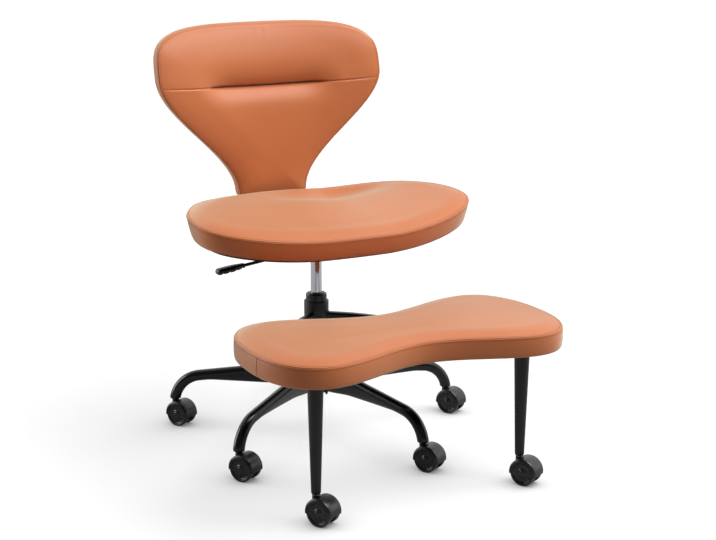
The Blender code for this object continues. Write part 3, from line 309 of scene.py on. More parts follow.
@dataclass(frozen=True)
class Coating(Finish):
    """Baked paint or powder: an orange-peel surface with uneven gloss."""

    peel: float = 0.003
    peel_depth: float = 0.00006
    cloud: float = 0.035

    def build(self, wiring: Wiring) -> None:
        """Make low swells for the peel, and clouds of gloss a few centimetres across."""
        wiring.bump(wiring.noise(self.peel), self.peel_depth, 0.6)
        wiring.gloss(wiring.noise(self.cloud, 3.0), self.roughness * 0.85, self.roughness * 1.2)


@dataclass(frozen=True)
class Moulded(Finish):
    """Injection-moulded plastic: spark-eroded texture and slight scuffing."""

    texture: float = 0.0012
    texture_depth: float = 0.00005
    scuff: float = 0.018

    def build(self, wiring: Wiring) -> None:
        """Make a fine pitted skin whose gloss breaks up where it is handled."""
        wiring.bump(wiring.noise(self.texture, 3.0), self.texture_depth, 0.7)
        wiring.gloss(wiring.noise(self.scuff, 5.0), self.roughness - 0.05, self.roughness + 0.12)


@dataclass(frozen=True)
class Metal(Finish):
    """Bare or plated metal with marks that run round or along the piece."""

    mark: float = 0.0006
    mark_depth: float = 0.00001
    stretch: Triple = (1.0, 1.0, 0.05)
    cloud: float = 0.02

    def build(self, wiring: Wiring) -> None:
        """Make fine drawn marks, and a haze that changes slowly over the surface."""
        wiring.bump(wiring.noise(self.mark, stretch=self.stretch), self.mark_depth, 0.4)
        wiring.gloss(wiring.noise(self.cloud, 3.0), self.roughness * 0.8, self.roughness * 1.3)


@dataclass(frozen=True)
class Plywood(Finish):
    """Birch plywood: long growth lines that wander along the sheet."""

    line: float = 0.006
    line_depth: float = 0.0001
    stretch: Triple = (0.06, 1.0, 1.0)
    dark: str = "B98D5C"

    def build(self, wiring: Wiring) -> None:
        """Stretch a noise for the figure, in colour and in a faint relief.

        Args:
            wiring: The material's nodes.
        """
        figure = wiring.noise(self.line, 6.0, self.stretch)
        wiring.tint(mapped(wiring.tree, figure, 0.0, 1.0, 0.35, 0.65), self.colour, self.dark)
        wiring.bump(figure, self.line_depth, 0.5)


# Warm orange tan, pebbled and softly lit at its turns
LEATHER = Leather("embossed_tan_leather", Slot.LEATHER, "D07947", 0.4, worn="CB7142")
# Rows of darker thread that catch small lights beside the seams
THREAD = Coating("bonded_nylon_thread", Slot.LEATHER, "A8602F", 0.55, peel=0.0008)
# Deep black with long clear highlights on the legs and the tube
POWDER = Coating("gloss_black_powder_coat", Slot.POWDER_COAT, "070708", 0.2, ior=1.42)
# The duller black of the footrest's frame and the lever
SATIN = Coating("satin_black_paint", Slot.SATIN, "0B0B0C", 0.38, ior=1.42)
# Greyish matt shells under the seat and behind the back
SHELL = Moulded("moulded_black_shell", Slot.SATIN, "0F0F10", 0.5)
# Caster hoods and the lever's grip, with a broad soft shine
NYLON = Moulded("moulded_black_nylon", Slot.NYLON, "0C0C0D", 0.3)
# Treads, a shade lighter than the discs
TYRE = Moulded("black_polyurethane_tyre", Slot.TYRE, "0E0E0F", 0.3)
# Wheel faces, as shiny as piano lacquer
DISC = Moulded("gloss_black_wheel_disc", Slot.TYRE, "09090A", 0.14, texture_depth=0.00002)
# The lift's rod, the one bright line on the chair
CHROME = Metal("polished_chrome_plate", Slot.CHROME, "C4C4C9", 0.08, metallic=1.0)
# Stems and the stop ring, bare and faintly brushed
STEEL = Metal("turned_bright_steel", Slot.STEEL, "A9AAAD", 0.3, metallic=1.0)
# Screw heads, dark but still metal
BLACK_SCREW = Metal("blackened_steel", Slot.STEEL, "2B2B2D", 0.34, metallic=1.0)
# The footrest's pale board with its figure
BOARD = Plywood("birch_plywood", Slot.PLYWOOD, "D6B483", 0.62)


# Mesh helpers


def put(name: str, data: bpy.types.ID) -> Piece:
    """Put an object in the scene.

    Args:
        name: Its name.
        data: Its mesh, lamp or camera.

    Returns:
        The object.
    """
    made = bpy.data.objects.new(name, data)
    bpy.context.scene.collection.objects.link(made)
    return made


def new_piece(name: str, shape: Shape, finish: Finish, node: str, stands_for: bool = True,
              sharp: float = SHARP) -> Piece:
    """Turn a bmesh into one piece of the chair.

    Args:
        name: The piece's name.
        shape: Its mesh, in place; it is freed.
        finish: Its surface.
        node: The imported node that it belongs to, and whose body it moves with.
        stands_for: Whether it takes the node's place or is fixed on it.
        sharp: Edges sharper than this angle stay sharp.

    Returns:
        The new object.
    """
    mesh = bpy.data.meshes.new(name)
    shape.to_mesh(mesh)
    shape.free()
    mesh.shade_smooth()
    mesh.set_sharp_from_angle(angle=sharp)
    mesh.materials.append(finish.material())
    made = put(name, mesh)
    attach(made, BODY_OF[node])
    if stands_for:
        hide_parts(node)
    log.info("%s: %d faces", name, len(mesh.polygons))
    return made


def rounded(points: Sequence[Point], radius: float, steps: int = 4) -> list[Point]:
    """Round the inner corners of an open line of two-number points.

    Args:
        points: The line's corners.
        radius: The rounding, cut down where a side is short.
        steps: Points on each rounding.

    Returns:
        The rounded line.
    """
    line = [points[0]]
    for before, here, after in zip(points, points[1:], points[2:]):
        corner = Vector(here)
        back, on = Vector(before) - corner, Vector(after) - corner
        reach = min(radius, back.length * 0.45, on.length * 0.45)
        start, stop = corner + back.normalized() * reach, corner + on.normalized() * reach
        for i in range(steps + 1):
            t = i / steps
            line.append(tuple(start * (1 - t) ** 2 + corner * 2 * t * (1 - t) + stop * t * t))
    return line + [points[-1]]


def turned(profile: Sequence[Point], steps: int = 96, closed: bool = False) -> Shape:
    """Spin (radius, height) points about Z.

    Args:
        profile: The section.
        steps: Copies round the axis.
        closed: Whether the section is a ring that comes back to its start.

    Returns:
        The solid, with its faces outward.
    """
    shape = bmesh.new()
    verts = [shape.verts.new((radius, 0.0, height)) for radius, height in profile]
    pairs = list(zip(verts, verts[1:])) + ([(verts[-1], verts[0])] if closed else [])
    edges = [shape.edges.new(pair) for pair in pairs]
    bmesh.ops.spin(shape, geom=verts + edges, cent=(0, 0, 0), axis=(0, 0, 1), angle=TURN, steps=steps,
                   use_merge=True)
    bmesh.ops.remove_doubles(shape, verts=shape.verts, dist=MERGE)
    bmesh.ops.recalc_face_normals(shape, faces=shape.faces)
    return shape


def ring(outer: float, inner: float, bottom: float, top: float, edge: float = 0.001) -> Shape:
    """Turn a plain ring about Z.

    Args:
        outer: Its outer radius.
        inner: Its inner radius.
        bottom: The height of its lower face.
        top: The height of its upper face.
        edge: The rounding of its outer rims.

    Returns:
        The ring.
    """
    middle = (outer + inner) / 2
    line = rounded([(middle, top), (outer, top), (outer, bottom), (middle, bottom)], edge)
    return turned(line[:-1] + [(inner, bottom), (inner, top)], closed=True)


def moved(shape: Shape, matrix: Matrix) -> Shape:
    """Return the bmesh after a rigid move."""
    bmesh.ops.transform(shape, matrix=matrix, verts=shape.verts)
    return shape


def joined(shapes: Iterable[Shape]) -> Shape:
    """Gather several bmeshes in one.

    Args:
        shapes: The bmeshes, which are freed.

    Returns:
        The one that holds them all.
    """
    total = bmesh.new()
    for shape in shapes:
        mesh = bpy.data.meshes.new("joining")
        shape.to_mesh(mesh)
        shape.free()
        total.from_mesh(mesh)
        bpy.data.meshes.remove(mesh)
    return total


def at_axis(height: float = 0.0) -> Matrix:
    """Return the move from the origin to the column's axis at a height."""
    return Matrix.Translation((AXIS.x, AXIS.y, height))


def extruded(shape: Shape, edges: Iterable[Edge]) -> tuple[set[Corner], list[Edge]]:
    """Extrude a loop of edges once, in place.

    Args:
        shape: The bmesh.
        edges: The loop.

    Returns:
        The new loop's corners and its edges.
    """
    made = bmesh.ops.extrude_edge_only(shape, edges=edges)["geom"]
    fresh = {item for item in made if isinstance(item, Corner)}
    return fresh, [item for item in made if isinstance(item, Edge) and set(item.verts) <= fresh]


def loft(rings: Sequence[Sequence[Vector]], capped: bool = True) -> Shape:
    """Pull a ring of points through a row of rings of equal counts.

    Args:
        rings: The rings, in order.
        capped: Whether both ends are closed by a face.

    Returns:
        The mesh, with its faces outward.
    """
    shape = bmesh.new()
    number = shape.verts.layers.int.new("number")
    loop = bmesh.ops.create_circle(shape, cap_ends=capped, segments=len(rings[0]), radius=1.0)["verts"]
    for i, vert in enumerate(loop):
        vert[number] = i
        vert.co = rings[0][i]
    edges = list(shape.edges)
    for row in rings[1:]:
        fresh, edges = extruded(shape, edges)
        for vert in fresh:
            vert.co = row[vert[number]]
    if capped:
        bmesh.ops.contextual_create(shape, geom=edges)
    bmesh.ops.recalc_face_normals(shape, faces=shape.faces)
    return shape


def sweep(points: Sequence[Vector], radius: float, sides: int = 16) -> Shape:
    """Carry a circle along an open line, with rounded ends.

    Args:
        points: The line.
        radius: The circle's radius.
        sides: Points on the circle.

    Returns:
        The round bar.
    """
    rings = []
    last = len(points) - 1
    normal = None
    for i, here in enumerate(points):
        along = (points[min(i + 1, last)] - points[max(i - 1, 0)]).normalized()
        if normal is None:
            normal = along.orthogonal()
        normal = (normal - along * normal.dot(along)).normalized()
        side = along.cross(normal)
        circle = [normal * math.cos(a) + side * math.sin(a) for a in angles(sides)]
        rows = [(0.0, 1.0)]
        if i == 0:
            rows = [(-reach, size) for reach, size in ROD_END] + rows
        elif i == last:
            rows += ROD_END[::-1]
        rings += [[here + along * radius * reach + ray * radius * size for ray in circle]
                  for reach, size in rows]
    return loft(rings)


def blend(value: float) -> float:
    """Ease from 0 to 1 as value goes from 0 to 1."""
    value = min(max(value, 0.0), 1.0)
    return value * value * (3.0 - 2.0 * value)


def eased(values: Array) -> Array:
    """Ease from 0 to 1 as each value goes from 0 to 1."""
    share = np.clip(values, 0.0, 1.0)
    return share * share * (3.0 - 2.0 * share)


def power_point(angle: float, half_width: float, half_depth: float, power: float) -> Point:
    """Find a point of a superellipse.

    Args:
        angle: Its turn round the middle.
        half_width: Half the curve's width.
        half_depth: Half its depth.
        power: How square it is; 2 is an ellipse.

    Returns:
        The point.
    """
    c, s = math.cos(angle), math.sin(angle)
    return (half_width * math.copysign(abs(c) ** (2.0 / power), c),
            half_depth * math.copysign(abs(s) ** (2.0 / power), s))


def angles(count: int) -> list[float]:
    """Return even steps of a full turn."""
    return [TURN * i / count for i in range(count)]


def rectangle(width: float, depth: float, corner: float, steps: int = 8) -> list[Point]:
    """Draw a rectangle with round corners about the origin.

    Args:
        width: Its side along X.
        depth: Its side along Y.
        corner: The radius of its corners.
        steps: Steps on each corner.

    Returns:
        Its points, anticlockwise.
    """
    points = []
    for index, (sx, sy) in enumerate(((1, 1), (-1, 1), (-1, -1), (1, -1))):
        for i in range(steps + 1):
            angle = RIGHT_ANGLE * (index + i / steps)
            points.append((sx * (width / 2 - corner) + corner * math.cos(angle),
                           sy * (depth / 2 - corner) + corner * math.sin(angle)))
    return points


def plate(side: float, thickness: float, corner: float, edge: float = 0.0008) -> Shape:
    """Make a flat square plate with round corners and softened edges.

    Args:
        side: The square's side.
        thickness: Its thickness.
        corner: The radius of its corners in plan.
        edge: The softening of its edges.

    Returns:
        The plate, its top face at height 0.
    """
    rows = [(edge, 0.0), (edge * 0.3, -edge * 0.3), (0.0, -edge), (0.0, edge - thickness), (edge, -thickness)]
    rings = []
    for inset, height in rows:
        outline = rectangle(side - 2 * inset, side - 2 * inset, corner - inset)
        rings.append([Vector((x, y, height)) for x, y in outline])
    return loft(rings)


def cubic(controls: Sequence[Vector], t: float) -> tuple[Vector, Vector]:
    """Walk along a Bezier curve.

    Args:
        controls: Its four control points.
        t: How far along, from 0 to 1.

    Returns:
        The place and the direction there.
    """
    weights = ((1 - t) ** 3, 3 * t * (1 - t) ** 2, 3 * t * t * (1 - t), t ** 3)
    here = sum((point * weight for point, weight in zip(controls, weights)), Vector((0.0, 0.0)))
    rates = (3 * (1 - t) ** 2, 6 * t * (1 - t), 3 * t * t)
    along = sum(((b - a) * rate for a, b, rate in zip(controls, controls[1:], rates)), Vector((0.0, 0.0)))
    return here, along.normalized()


def screw(radius: float, height: float, steps: int = 24, sides: int = 6) -> Shape:
    """Make a domed screw head on height 0.

    Args:
        radius: The head's radius.
        height: Its height.
        steps: Points round the head, a multiple of the sides.
        sides: Sides of the socket in its top.

    Returns:
        The head.
    """
    socket, depth, each = radius * 0.48, height * 0.6, steps // sides
    dome = [(0.98, 0.0), (1.0, 0.25), (0.93, 0.7), (0.7, 0.97)]
    rings = [[Vector((radius * r * math.cos(a), radius * r * math.sin(a), height * z)) for a in angles(steps)]
             for r, z in dome]
    for z in (height, height - depth):
        corners = [Vector((socket * math.cos(a), socket * math.sin(a), z)) for a in angles(sides)]
        rings.append([corners[i // each].lerp(corners[(i // each + 1) % sides], i % each / each)
                      for i in range(steps)])
    return loft(rings)


def places_of(mesh: bpy.types.Mesh) -> Array:
    """Return the places of a mesh's points, one row for each."""
    return np.array([vert.co[:] for vert in mesh.vertices])


def facing(place: Vector, outward: Vector) -> Matrix:
    """Return the move that stands a Z-up shape on a place, pointing outward."""
    return Matrix.Translation(place) @ outward.to_track_quat("Z", "Y").to_matrix().to_4x4()


def drive(name: str, node: str, spots: Iterable[tuple[Vector, Vector]], radius: float = SCREW_RADIUS,
          height: float = SCREW_HEIGHT) -> None:
    """Drive a row of screws into a piece.

    Args:
        name: The screws' own name.
        node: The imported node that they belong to.
        spots: Their places from the column's axis, and the ways that their heads face.
        radius: The radius of a head.
        height: Its height.
    """
    heads = [moved(screw(radius, height), at_axis() @ facing(place, outward)) for place, outward in spots]
    new_piece(name, joined(heads), BLACK_SCREW, node, stands_for=False)


# Upholstery


@dataclass
class Outline:
    """A closed plan curve that is walked by its length."""

    points: Array
    lengths: Array = field(init=False)

    def __post_init__(self) -> None:
        """Close the curve and measure along it."""
        self.points = np.vstack([self.points, self.points[:1]])
        steps = np.linalg.norm(np.diff(self.points, axis=0), axis=1)
        self.lengths = np.concatenate([[0.0], np.cumsum(steps)])

    @property
    def total(self) -> float:
        """The curve's whole length."""
        return float(self.lengths[-1])

    def at(self, lengths: Array) -> Array:
        """Return the points at these lengths along the curve."""
        walked = np.mod(lengths, self.total)
        return np.stack([np.interp(walked, self.lengths, self.points[:, i]) for i in (0, 1)], axis=-1)

    def length_near(self, place: tuple[float, float]) -> float:
        """Return the length at the curve's nearest point to place."""
        return float(self.lengths[np.argmin(np.linalg.norm(self.points - np.array(place), axis=1))])

    def outward(self, lengths: Array) -> Array:
        """Find the outward directions; the curve runs anticlockwise.

        Args:
            lengths: Where along the curve.

        Returns:
            Unit vectors in the plan.
        """
        step = 0.0015
        along = self.at(lengths + step) - self.at(lengths - step)
        along /= np.linalg.norm(along, axis=1)[:, None]
        return np.stack([along[:, 1], -along[:, 0]], axis=-1)

    def inset(self, places: Array) -> Array:
        """Find how far each place lies from the curve.

        Args:
            places: Plan points.

        Returns:
            Their distances to the nearest point of the curve.
        """
        found = np.empty(len(places))
        batch = 512
        for start in range(0, len(places), batch):
            part = places[start:start + batch]
            gaps = np.linalg.norm(part[:, None, :] - self.points[None, :, :], axis=2)
            found[start:start + batch] = gaps.min(axis=1)
        return found

    def gap_along(self, lengths: Array, mark: float) -> Array:
        """Return how far along the curve these lengths are from a mark."""
        return np.abs(np.mod(lengths - mark + self.total / 2, self.total) - self.total / 2)


@dataclass
class Sheet:
    """The curved sheet that a cushion's seam lies in: its outline, and its place on the chair."""

    def outline(self) -> Outline:
        """Return the seam's plan curve, anticlockwise."""
        raise NotImplementedError

    def corners(self) -> list[Point]:
        """Return the four plan points where a grid over the sheet has its corners, anticlockwise."""
        raise NotImplementedError

    def joins(self) -> list[Point]:
        """Return the plan points on the rim where the boxing strip's ends are sewn together."""
        raise NotImplementedError

    def rows_near(self) -> list[Point]:
        """Return the plan points on the rim where the grid's rows lie closer."""
        return []

    def softness(self, places: Array) -> Array:
        """Return where the face rolls over the rim without a seam, from 0 to 1."""
        return np.zeros(len(places))

    def straighten(self, grid: Array) -> Array:
        """Return the grid's plan with its rows laid along the sheet's tuck, if it has one."""
        return grid

    def flatten(self, places: Array) -> Array:
        """Return the plan points of places on the chair."""
        return places[:, :2] - np.array(AXIS)

    def place(self, flat: Array, height: Array, share: Array) -> Array:
        """Turn plan points into places on the chair.

        Args:
            flat: The plan points.
            height: Their heights over the seam.
            share: How much of the crown is reached there, from 0 to 1.

        Returns:
            The places.
        """
        raise NotImplementedError


@dataclass
class SeatSheet(Sheet):
    """The wide oval seat, hollowed at the rear, with sides that lift."""

    width: float = 0.62
    front_depth: float = 0.135
    rear_depth: float = 0.264
    reach: float = 0.081
    front_power: float = 2.47
    rear_power: float = 1.9
    seam_height: float = 0.4885
    left_rise: float = 0.02
    right_rise: float = 0.033
    rise_power: float = 1.6
    flat_width: float = 0.15
    slope: float = 0.102
    rear_drop: float = 0.0145
    drop_start: float = 0.064
    dish: float = 0.026
    dish_width: float = 0.205
    dish_front: float = 0.05
    dish_rear: float = 0.058
    dish_back: float = 0.088
    dish_weak: float = 0.2
    dish_fade: float = 0.16
    left_power: float = 2.4
    right_power: float = 3.4

    def outline(self) -> Outline:
        """Draw half ovals of unlike depth in front of and behind the widest line.

        Returns:
            The seam's plan curve.
        """
        points = []
        for turn in angles(OUTLINE_POINTS):
            angle = turn - RIGHT_ANGLE
            front = math.sin(angle) < 0.0
            x, y = power_point(angle, self.width / 2, self.front_depth if front else self.rear_depth,
                               self.front_power if front else self.rear_power)
            points.append((x, y - self.reach))
        return Outline(np.array(points))

    def corners(self) -> list[Point]:
        """Find corners at the four diagonals of the oval.

        Returns:
            The four plan points.
        """
        x = self.width * 0.36
        front, rear = -self.reach - self.front_depth * 0.75, -self.reach + self.rear_depth * 0.68
        return [(-x, front), (x, front), (x, rear), (-x, rear)]

    def joins(self) -> list[Point]:
        """One join, behind the sitter where the backrest's bar passes."""
        return [(0.0, self.rear_depth - self.reach)]

    def level(self, x: Array, y: Array) -> Array:
        """Find the sheet's height, which falls forward, lifts at both sides and droops at the rear.

        Args:
            x: Distances toward the sitter's left.
            y: Distances back from the column.

        Returns:
            The heights.
        """
        side = np.maximum(np.abs(x) - self.flat_width / 2, 0.0) / (self.width / 2 - self.flat_width / 2)
        rear = np.maximum(y - self.drop_start, 0.0) / (self.rear_depth - self.reach - self.drop_start)
        most = np.where(x < 0.0, self.left_rise, self.right_rise)
        rise = most * side ** self.rise_power - self.rear_drop * rear ** 2
        return self.seam_height + self.slope * (y + self.reach) + rise

    def place(self, flat: Array, height: Array, share: Array) -> Array:
        """Lay the plan on the sheet, and press the hollow in where the crown has risen.

        Args:
            flat: The plan points.
            height: Their heights over the seam.
            share: How much of the crown is reached there, from 0 to 1.

        Returns:
            The places.
        """
        x, y = flat[:, 0], flat[:, 1]
        along = y - self.dish_back
        depth = np.where(along < 0.0, self.dish_front, self.dish_rear)
        strength = self.dish_weak + (1.0 - self.dish_weak) * np.clip(0.5 + x / self.dish_fade, 0.0, 1.0)
        power = np.where(x < 0.0, self.left_power, self.right_power)
        fall = np.abs(x / self.dish_width) ** power + np.abs(along / depth) ** 2
        hollow = self.dish * strength * np.exp(-fall)
        return np.stack([x + AXIS.x, y + AXIS.y, self.level(x, y) + height - hollow * share], axis=-1)


@dataclass
class FootSheet(Sheet):
    """The long level footrest, drawn in at its waist."""

    length: float = 0.6435
    lobe_depth: float = 0.4831
    waist_depth: float = 0.2142
    lobe_pitch: float = 0.35
    end_power: float = 2.5
    reach: float = 0.3836
    shift: float = -0.0058
    seam_height: float = 0.3294

    def outline(self) -> Outline:
        """Draw a long superellipse whose depth draws in at the middle.

        Returns:
            The seam's plan curve.
        """
        points = []
        for turn in angles(OUTLINE_POINTS):
            x, level = power_point(turn - RIGHT_ANGLE, self.length / 2, 1.0, self.end_power)
            depth = self.waist_depth + (self.lobe_depth - self.waist_depth) * blend(abs(x) / self.lobe_pitch)
            points.append((x + self.shift, -self.reach + level * depth / 2))
        return Outline(np.array(points))

    def corners(self) -> list[Point]:
        """Corners at the outer shoulders of both lobes."""
        x, y = self.length * 0.43, self.waist_depth * 0.68
        return [(-x, -self.reach - y), (x, -self.reach - y), (x, -self.reach + y), (-x, -self.reach + y)]

    def joins(self) -> list[Point]:
        """One join on the front of the right lobe, and its mate on the back of the left one."""
        return [(-0.326, -self.reach - 0.04), (0.29, -self.reach + 0.095)]

    def place(self, flat: Array, height: Array, share: Array) -> Array:
        """Lay the plan level at the seam's height."""
        return np.stack([flat[:, 0] + AXIS.x, flat[:, 1] + AXIS.y, self.seam_height + height], axis=-1)


@dataclass
class BackSheet(Sheet):
    """The backrest: a narrow neck, flared shoulders, and a head roll over a deep tuck.

    The plan's first number runs along X and its second one is the height.
    """

    face_reach: float = 0.209
    face_height: float = 0.52
    rake: float = 0.194
    wrap: float = 0.0265
    wrap_width: float = 0.2
    bow: float = 0.0123
    bow_height: float = 0.72
    bow_span: float = 0.2
    bottom: float = 0.478
    top: float = 0.867
    neck_width: float = 0.162
    neck_corner: float = 0.026
    neck_power: float = 2.6
    flare_start: float = 0.5
    flare_end: float = 0.76
    width: float = 0.53
    top_power: float = 3.9
    fold_height: float = 0.7405
    fold_sag: float = 0.009
    fold_inner: float = 0.085
    fold_outer: float = 0.18
    fold_depth: float = 0.02
    fold_above: float = 0.066
    fold_below: float = 0.06
    fold_power: float = 3.0
    slit_inner: float = 0.122
    slit_outer: float = 0.146
    slit_depth: float = 0.0105
    slit_width: float = 0.0025
    seam_depth: float = 0.0022
    seam_width: float = 0.0015
    level_reach: float = 0.045
    soft_start: float = 0.815
    soft_end: float = 0.85

    def half_width(self, height: float) -> float:
        """Return half the width at a height."""
        flare = blend((height - self.flare_start) / (self.flare_end - self.flare_start))
        return self.neck_width / 2 + (self.width - self.neck_width) / 2 * flare

    def outline(self) -> Outline:
        """Draw neck corners, flared sides, and a broad top with full corners.

        Returns:
            The seam's plan curve.
        """
        count = 240
        side = self.bottom + self.neck_corner
        right = []
        for i in range(1, count + 1):
            x, drop = power_point(RIGHT_ANGLE * (i / count - 1.0), self.neck_width / 2, self.neck_corner,
                                  self.neck_power)
            right.append((x, side + drop))
        for i in range(1, count + 1):
            z = side + (self.flare_end - side) * i / count
            right.append((self.half_width(z), z))
        for i in range(1, count):
            x, rise = power_point(RIGHT_ANGLE * i / count, self.width / 2, self.top - self.flare_end,
                                  self.top_power)
            right.append((x, self.flare_end + rise))
        left = [(-x, z) for x, z in reversed(right)]
        return Outline(np.array([(0.0, self.bottom)] + right + [(0.0, self.top)] + left))

    def corners(self) -> list[Point]:
        """Find corners at the neck's foot and at the top's shoulders.

        Returns:
            The four plan points.
        """
        neck, foot = self.neck_width * 0.46, self.bottom + 0.006
        x, z = self.width * 0.46, self.top - 0.018
        return [(-neck, foot), (neck, foot), (x, z), (-x, z)]

    def joins(self) -> list[Point]:
        """One join under the neck."""
        return [(0.0, self.bottom)]

    def rows_near(self) -> list[Point]:
        """Close rows at both ends of the tuck."""
        x = self.half_width(self.fold_height)
        return [(x, self.fold_height), (-x, self.fold_height)]

    def softness(self, places: Array) -> Array:
        """The head roll's leather runs over the top in one piece."""
        return eased((places[:, 1] - self.soft_start) / (self.soft_end - self.soft_start))

    def straighten(self, grid: Array) -> Array:
        """Level the rows near the tuck, so that its crevice runs along one of them.

        Args:
            grid: The plan points, by row and column.

        Returns:
            The grid with its rows moved up and down.
        """
        side = grid[:, :1, 1]
        bulge = grid[:, :, 1] - side
        near = np.exp(-((side - self.fold_height) / self.level_reach) ** 2)
        sag = self.fold_at(grid[:, :, 0]) - self.fold_height
        level = side + bulge * (1.0 - near) + sag * near
        return np.stack([grid[:, :, 0], level], axis=-1)

    def flatten(self, places: Array) -> Array:
        """Return the plan points as seen from the front."""
        return places[:, [0, 2]] - np.array([AXIS.x, 0.0])

    def face_at(self, x: Array, z: Array) -> Array:
        """Find how far back the seam's sheet lies: raked, wrapped and gently bowed.

        Args:
            x: Distances toward the sitter's left.
            z: Heights.

        Returns:
            Distances back from the column.
        """
        raked = self.face_reach + self.rake * (z - self.face_height)
        bow = ((z - self.bow_height) / self.bow_span) ** 2
        return raked - self.wrap * (x / self.wrap_width) ** 2 + self.bow * bow

    def fold_at(self, x: Array) -> Array:
        """Return the crevice's height, which sags a little in the middle."""
        share = np.clip(x / self.half_width(self.fold_height), -1.0, 1.0)
        return self.fold_height - self.fold_sag * (1.0 - share ** 2)

    def faded(self, x: Array, inner: float, outer: float) -> Array:
        """Return 1 in the middle that fades to 0 between two distances from it."""
        return 1.0 - eased((np.abs(x) - inner) / (outer - inner))

    def tuck(self, x: Array, z: Array) -> Array:
        """Find the depth of the tuck, and of the plain seam that runs on from it to both sides.

        Args:
            x: Distances toward the sitter's left.
            z: Heights.

        Returns:
            How far the face is drawn in.
        """
        rise = z - self.fold_at(x)
        above = np.clip(1.0 - rise / self.fold_above, 0.0, 1.0) ** self.fold_power
        below = np.clip(1.0 + rise / self.fold_below, 0.0, 1.0) ** self.fold_power
        ends = self.faded(x, self.fold_inner, self.fold_outer)
        open_ends = self.faded(x, self.slit_inner, self.slit_outer)
        slit = self.slit_depth * np.exp(-(rise / self.slit_width) ** 2)
        seam = self.seam_depth * np.exp(-(rise / self.seam_width) ** 2)
        fold = self.fold_depth * np.where(rise > 0.0, above, below)
        return fold * ends + slit * open_ends + seam * (1.0 - open_ends)

    def place(self, flat: Array, height: Array, share: Array) -> Array:
        """Stand the plan up as the front, with heights toward the sitter.

        Args:
            flat: The plan points.
            height: Their heights over the seam.
            share: How much of the crown is reached there, from 0 to 1.

        Returns:
            The places.
        """
        x, z = flat[:, 0], flat[:, 1]
        y = self.face_at(x, z) - height + self.tuck(x, z) * share
        return np.stack([x + AXIS.x, y + AXIS.y, z], axis=-1)


class Role(Enum):
    """What a ring of a cushion's side is for."""

    PLAIN = 0
    LIP = 1
    STITCH = 2
    DITCH = 3


@dataclass(frozen=True)
class Ring:
    """One ring round a slab: inset from the outline, height over the seam, and its role."""

    inset: float
    height: float
    role: Role = Role.PLAIN


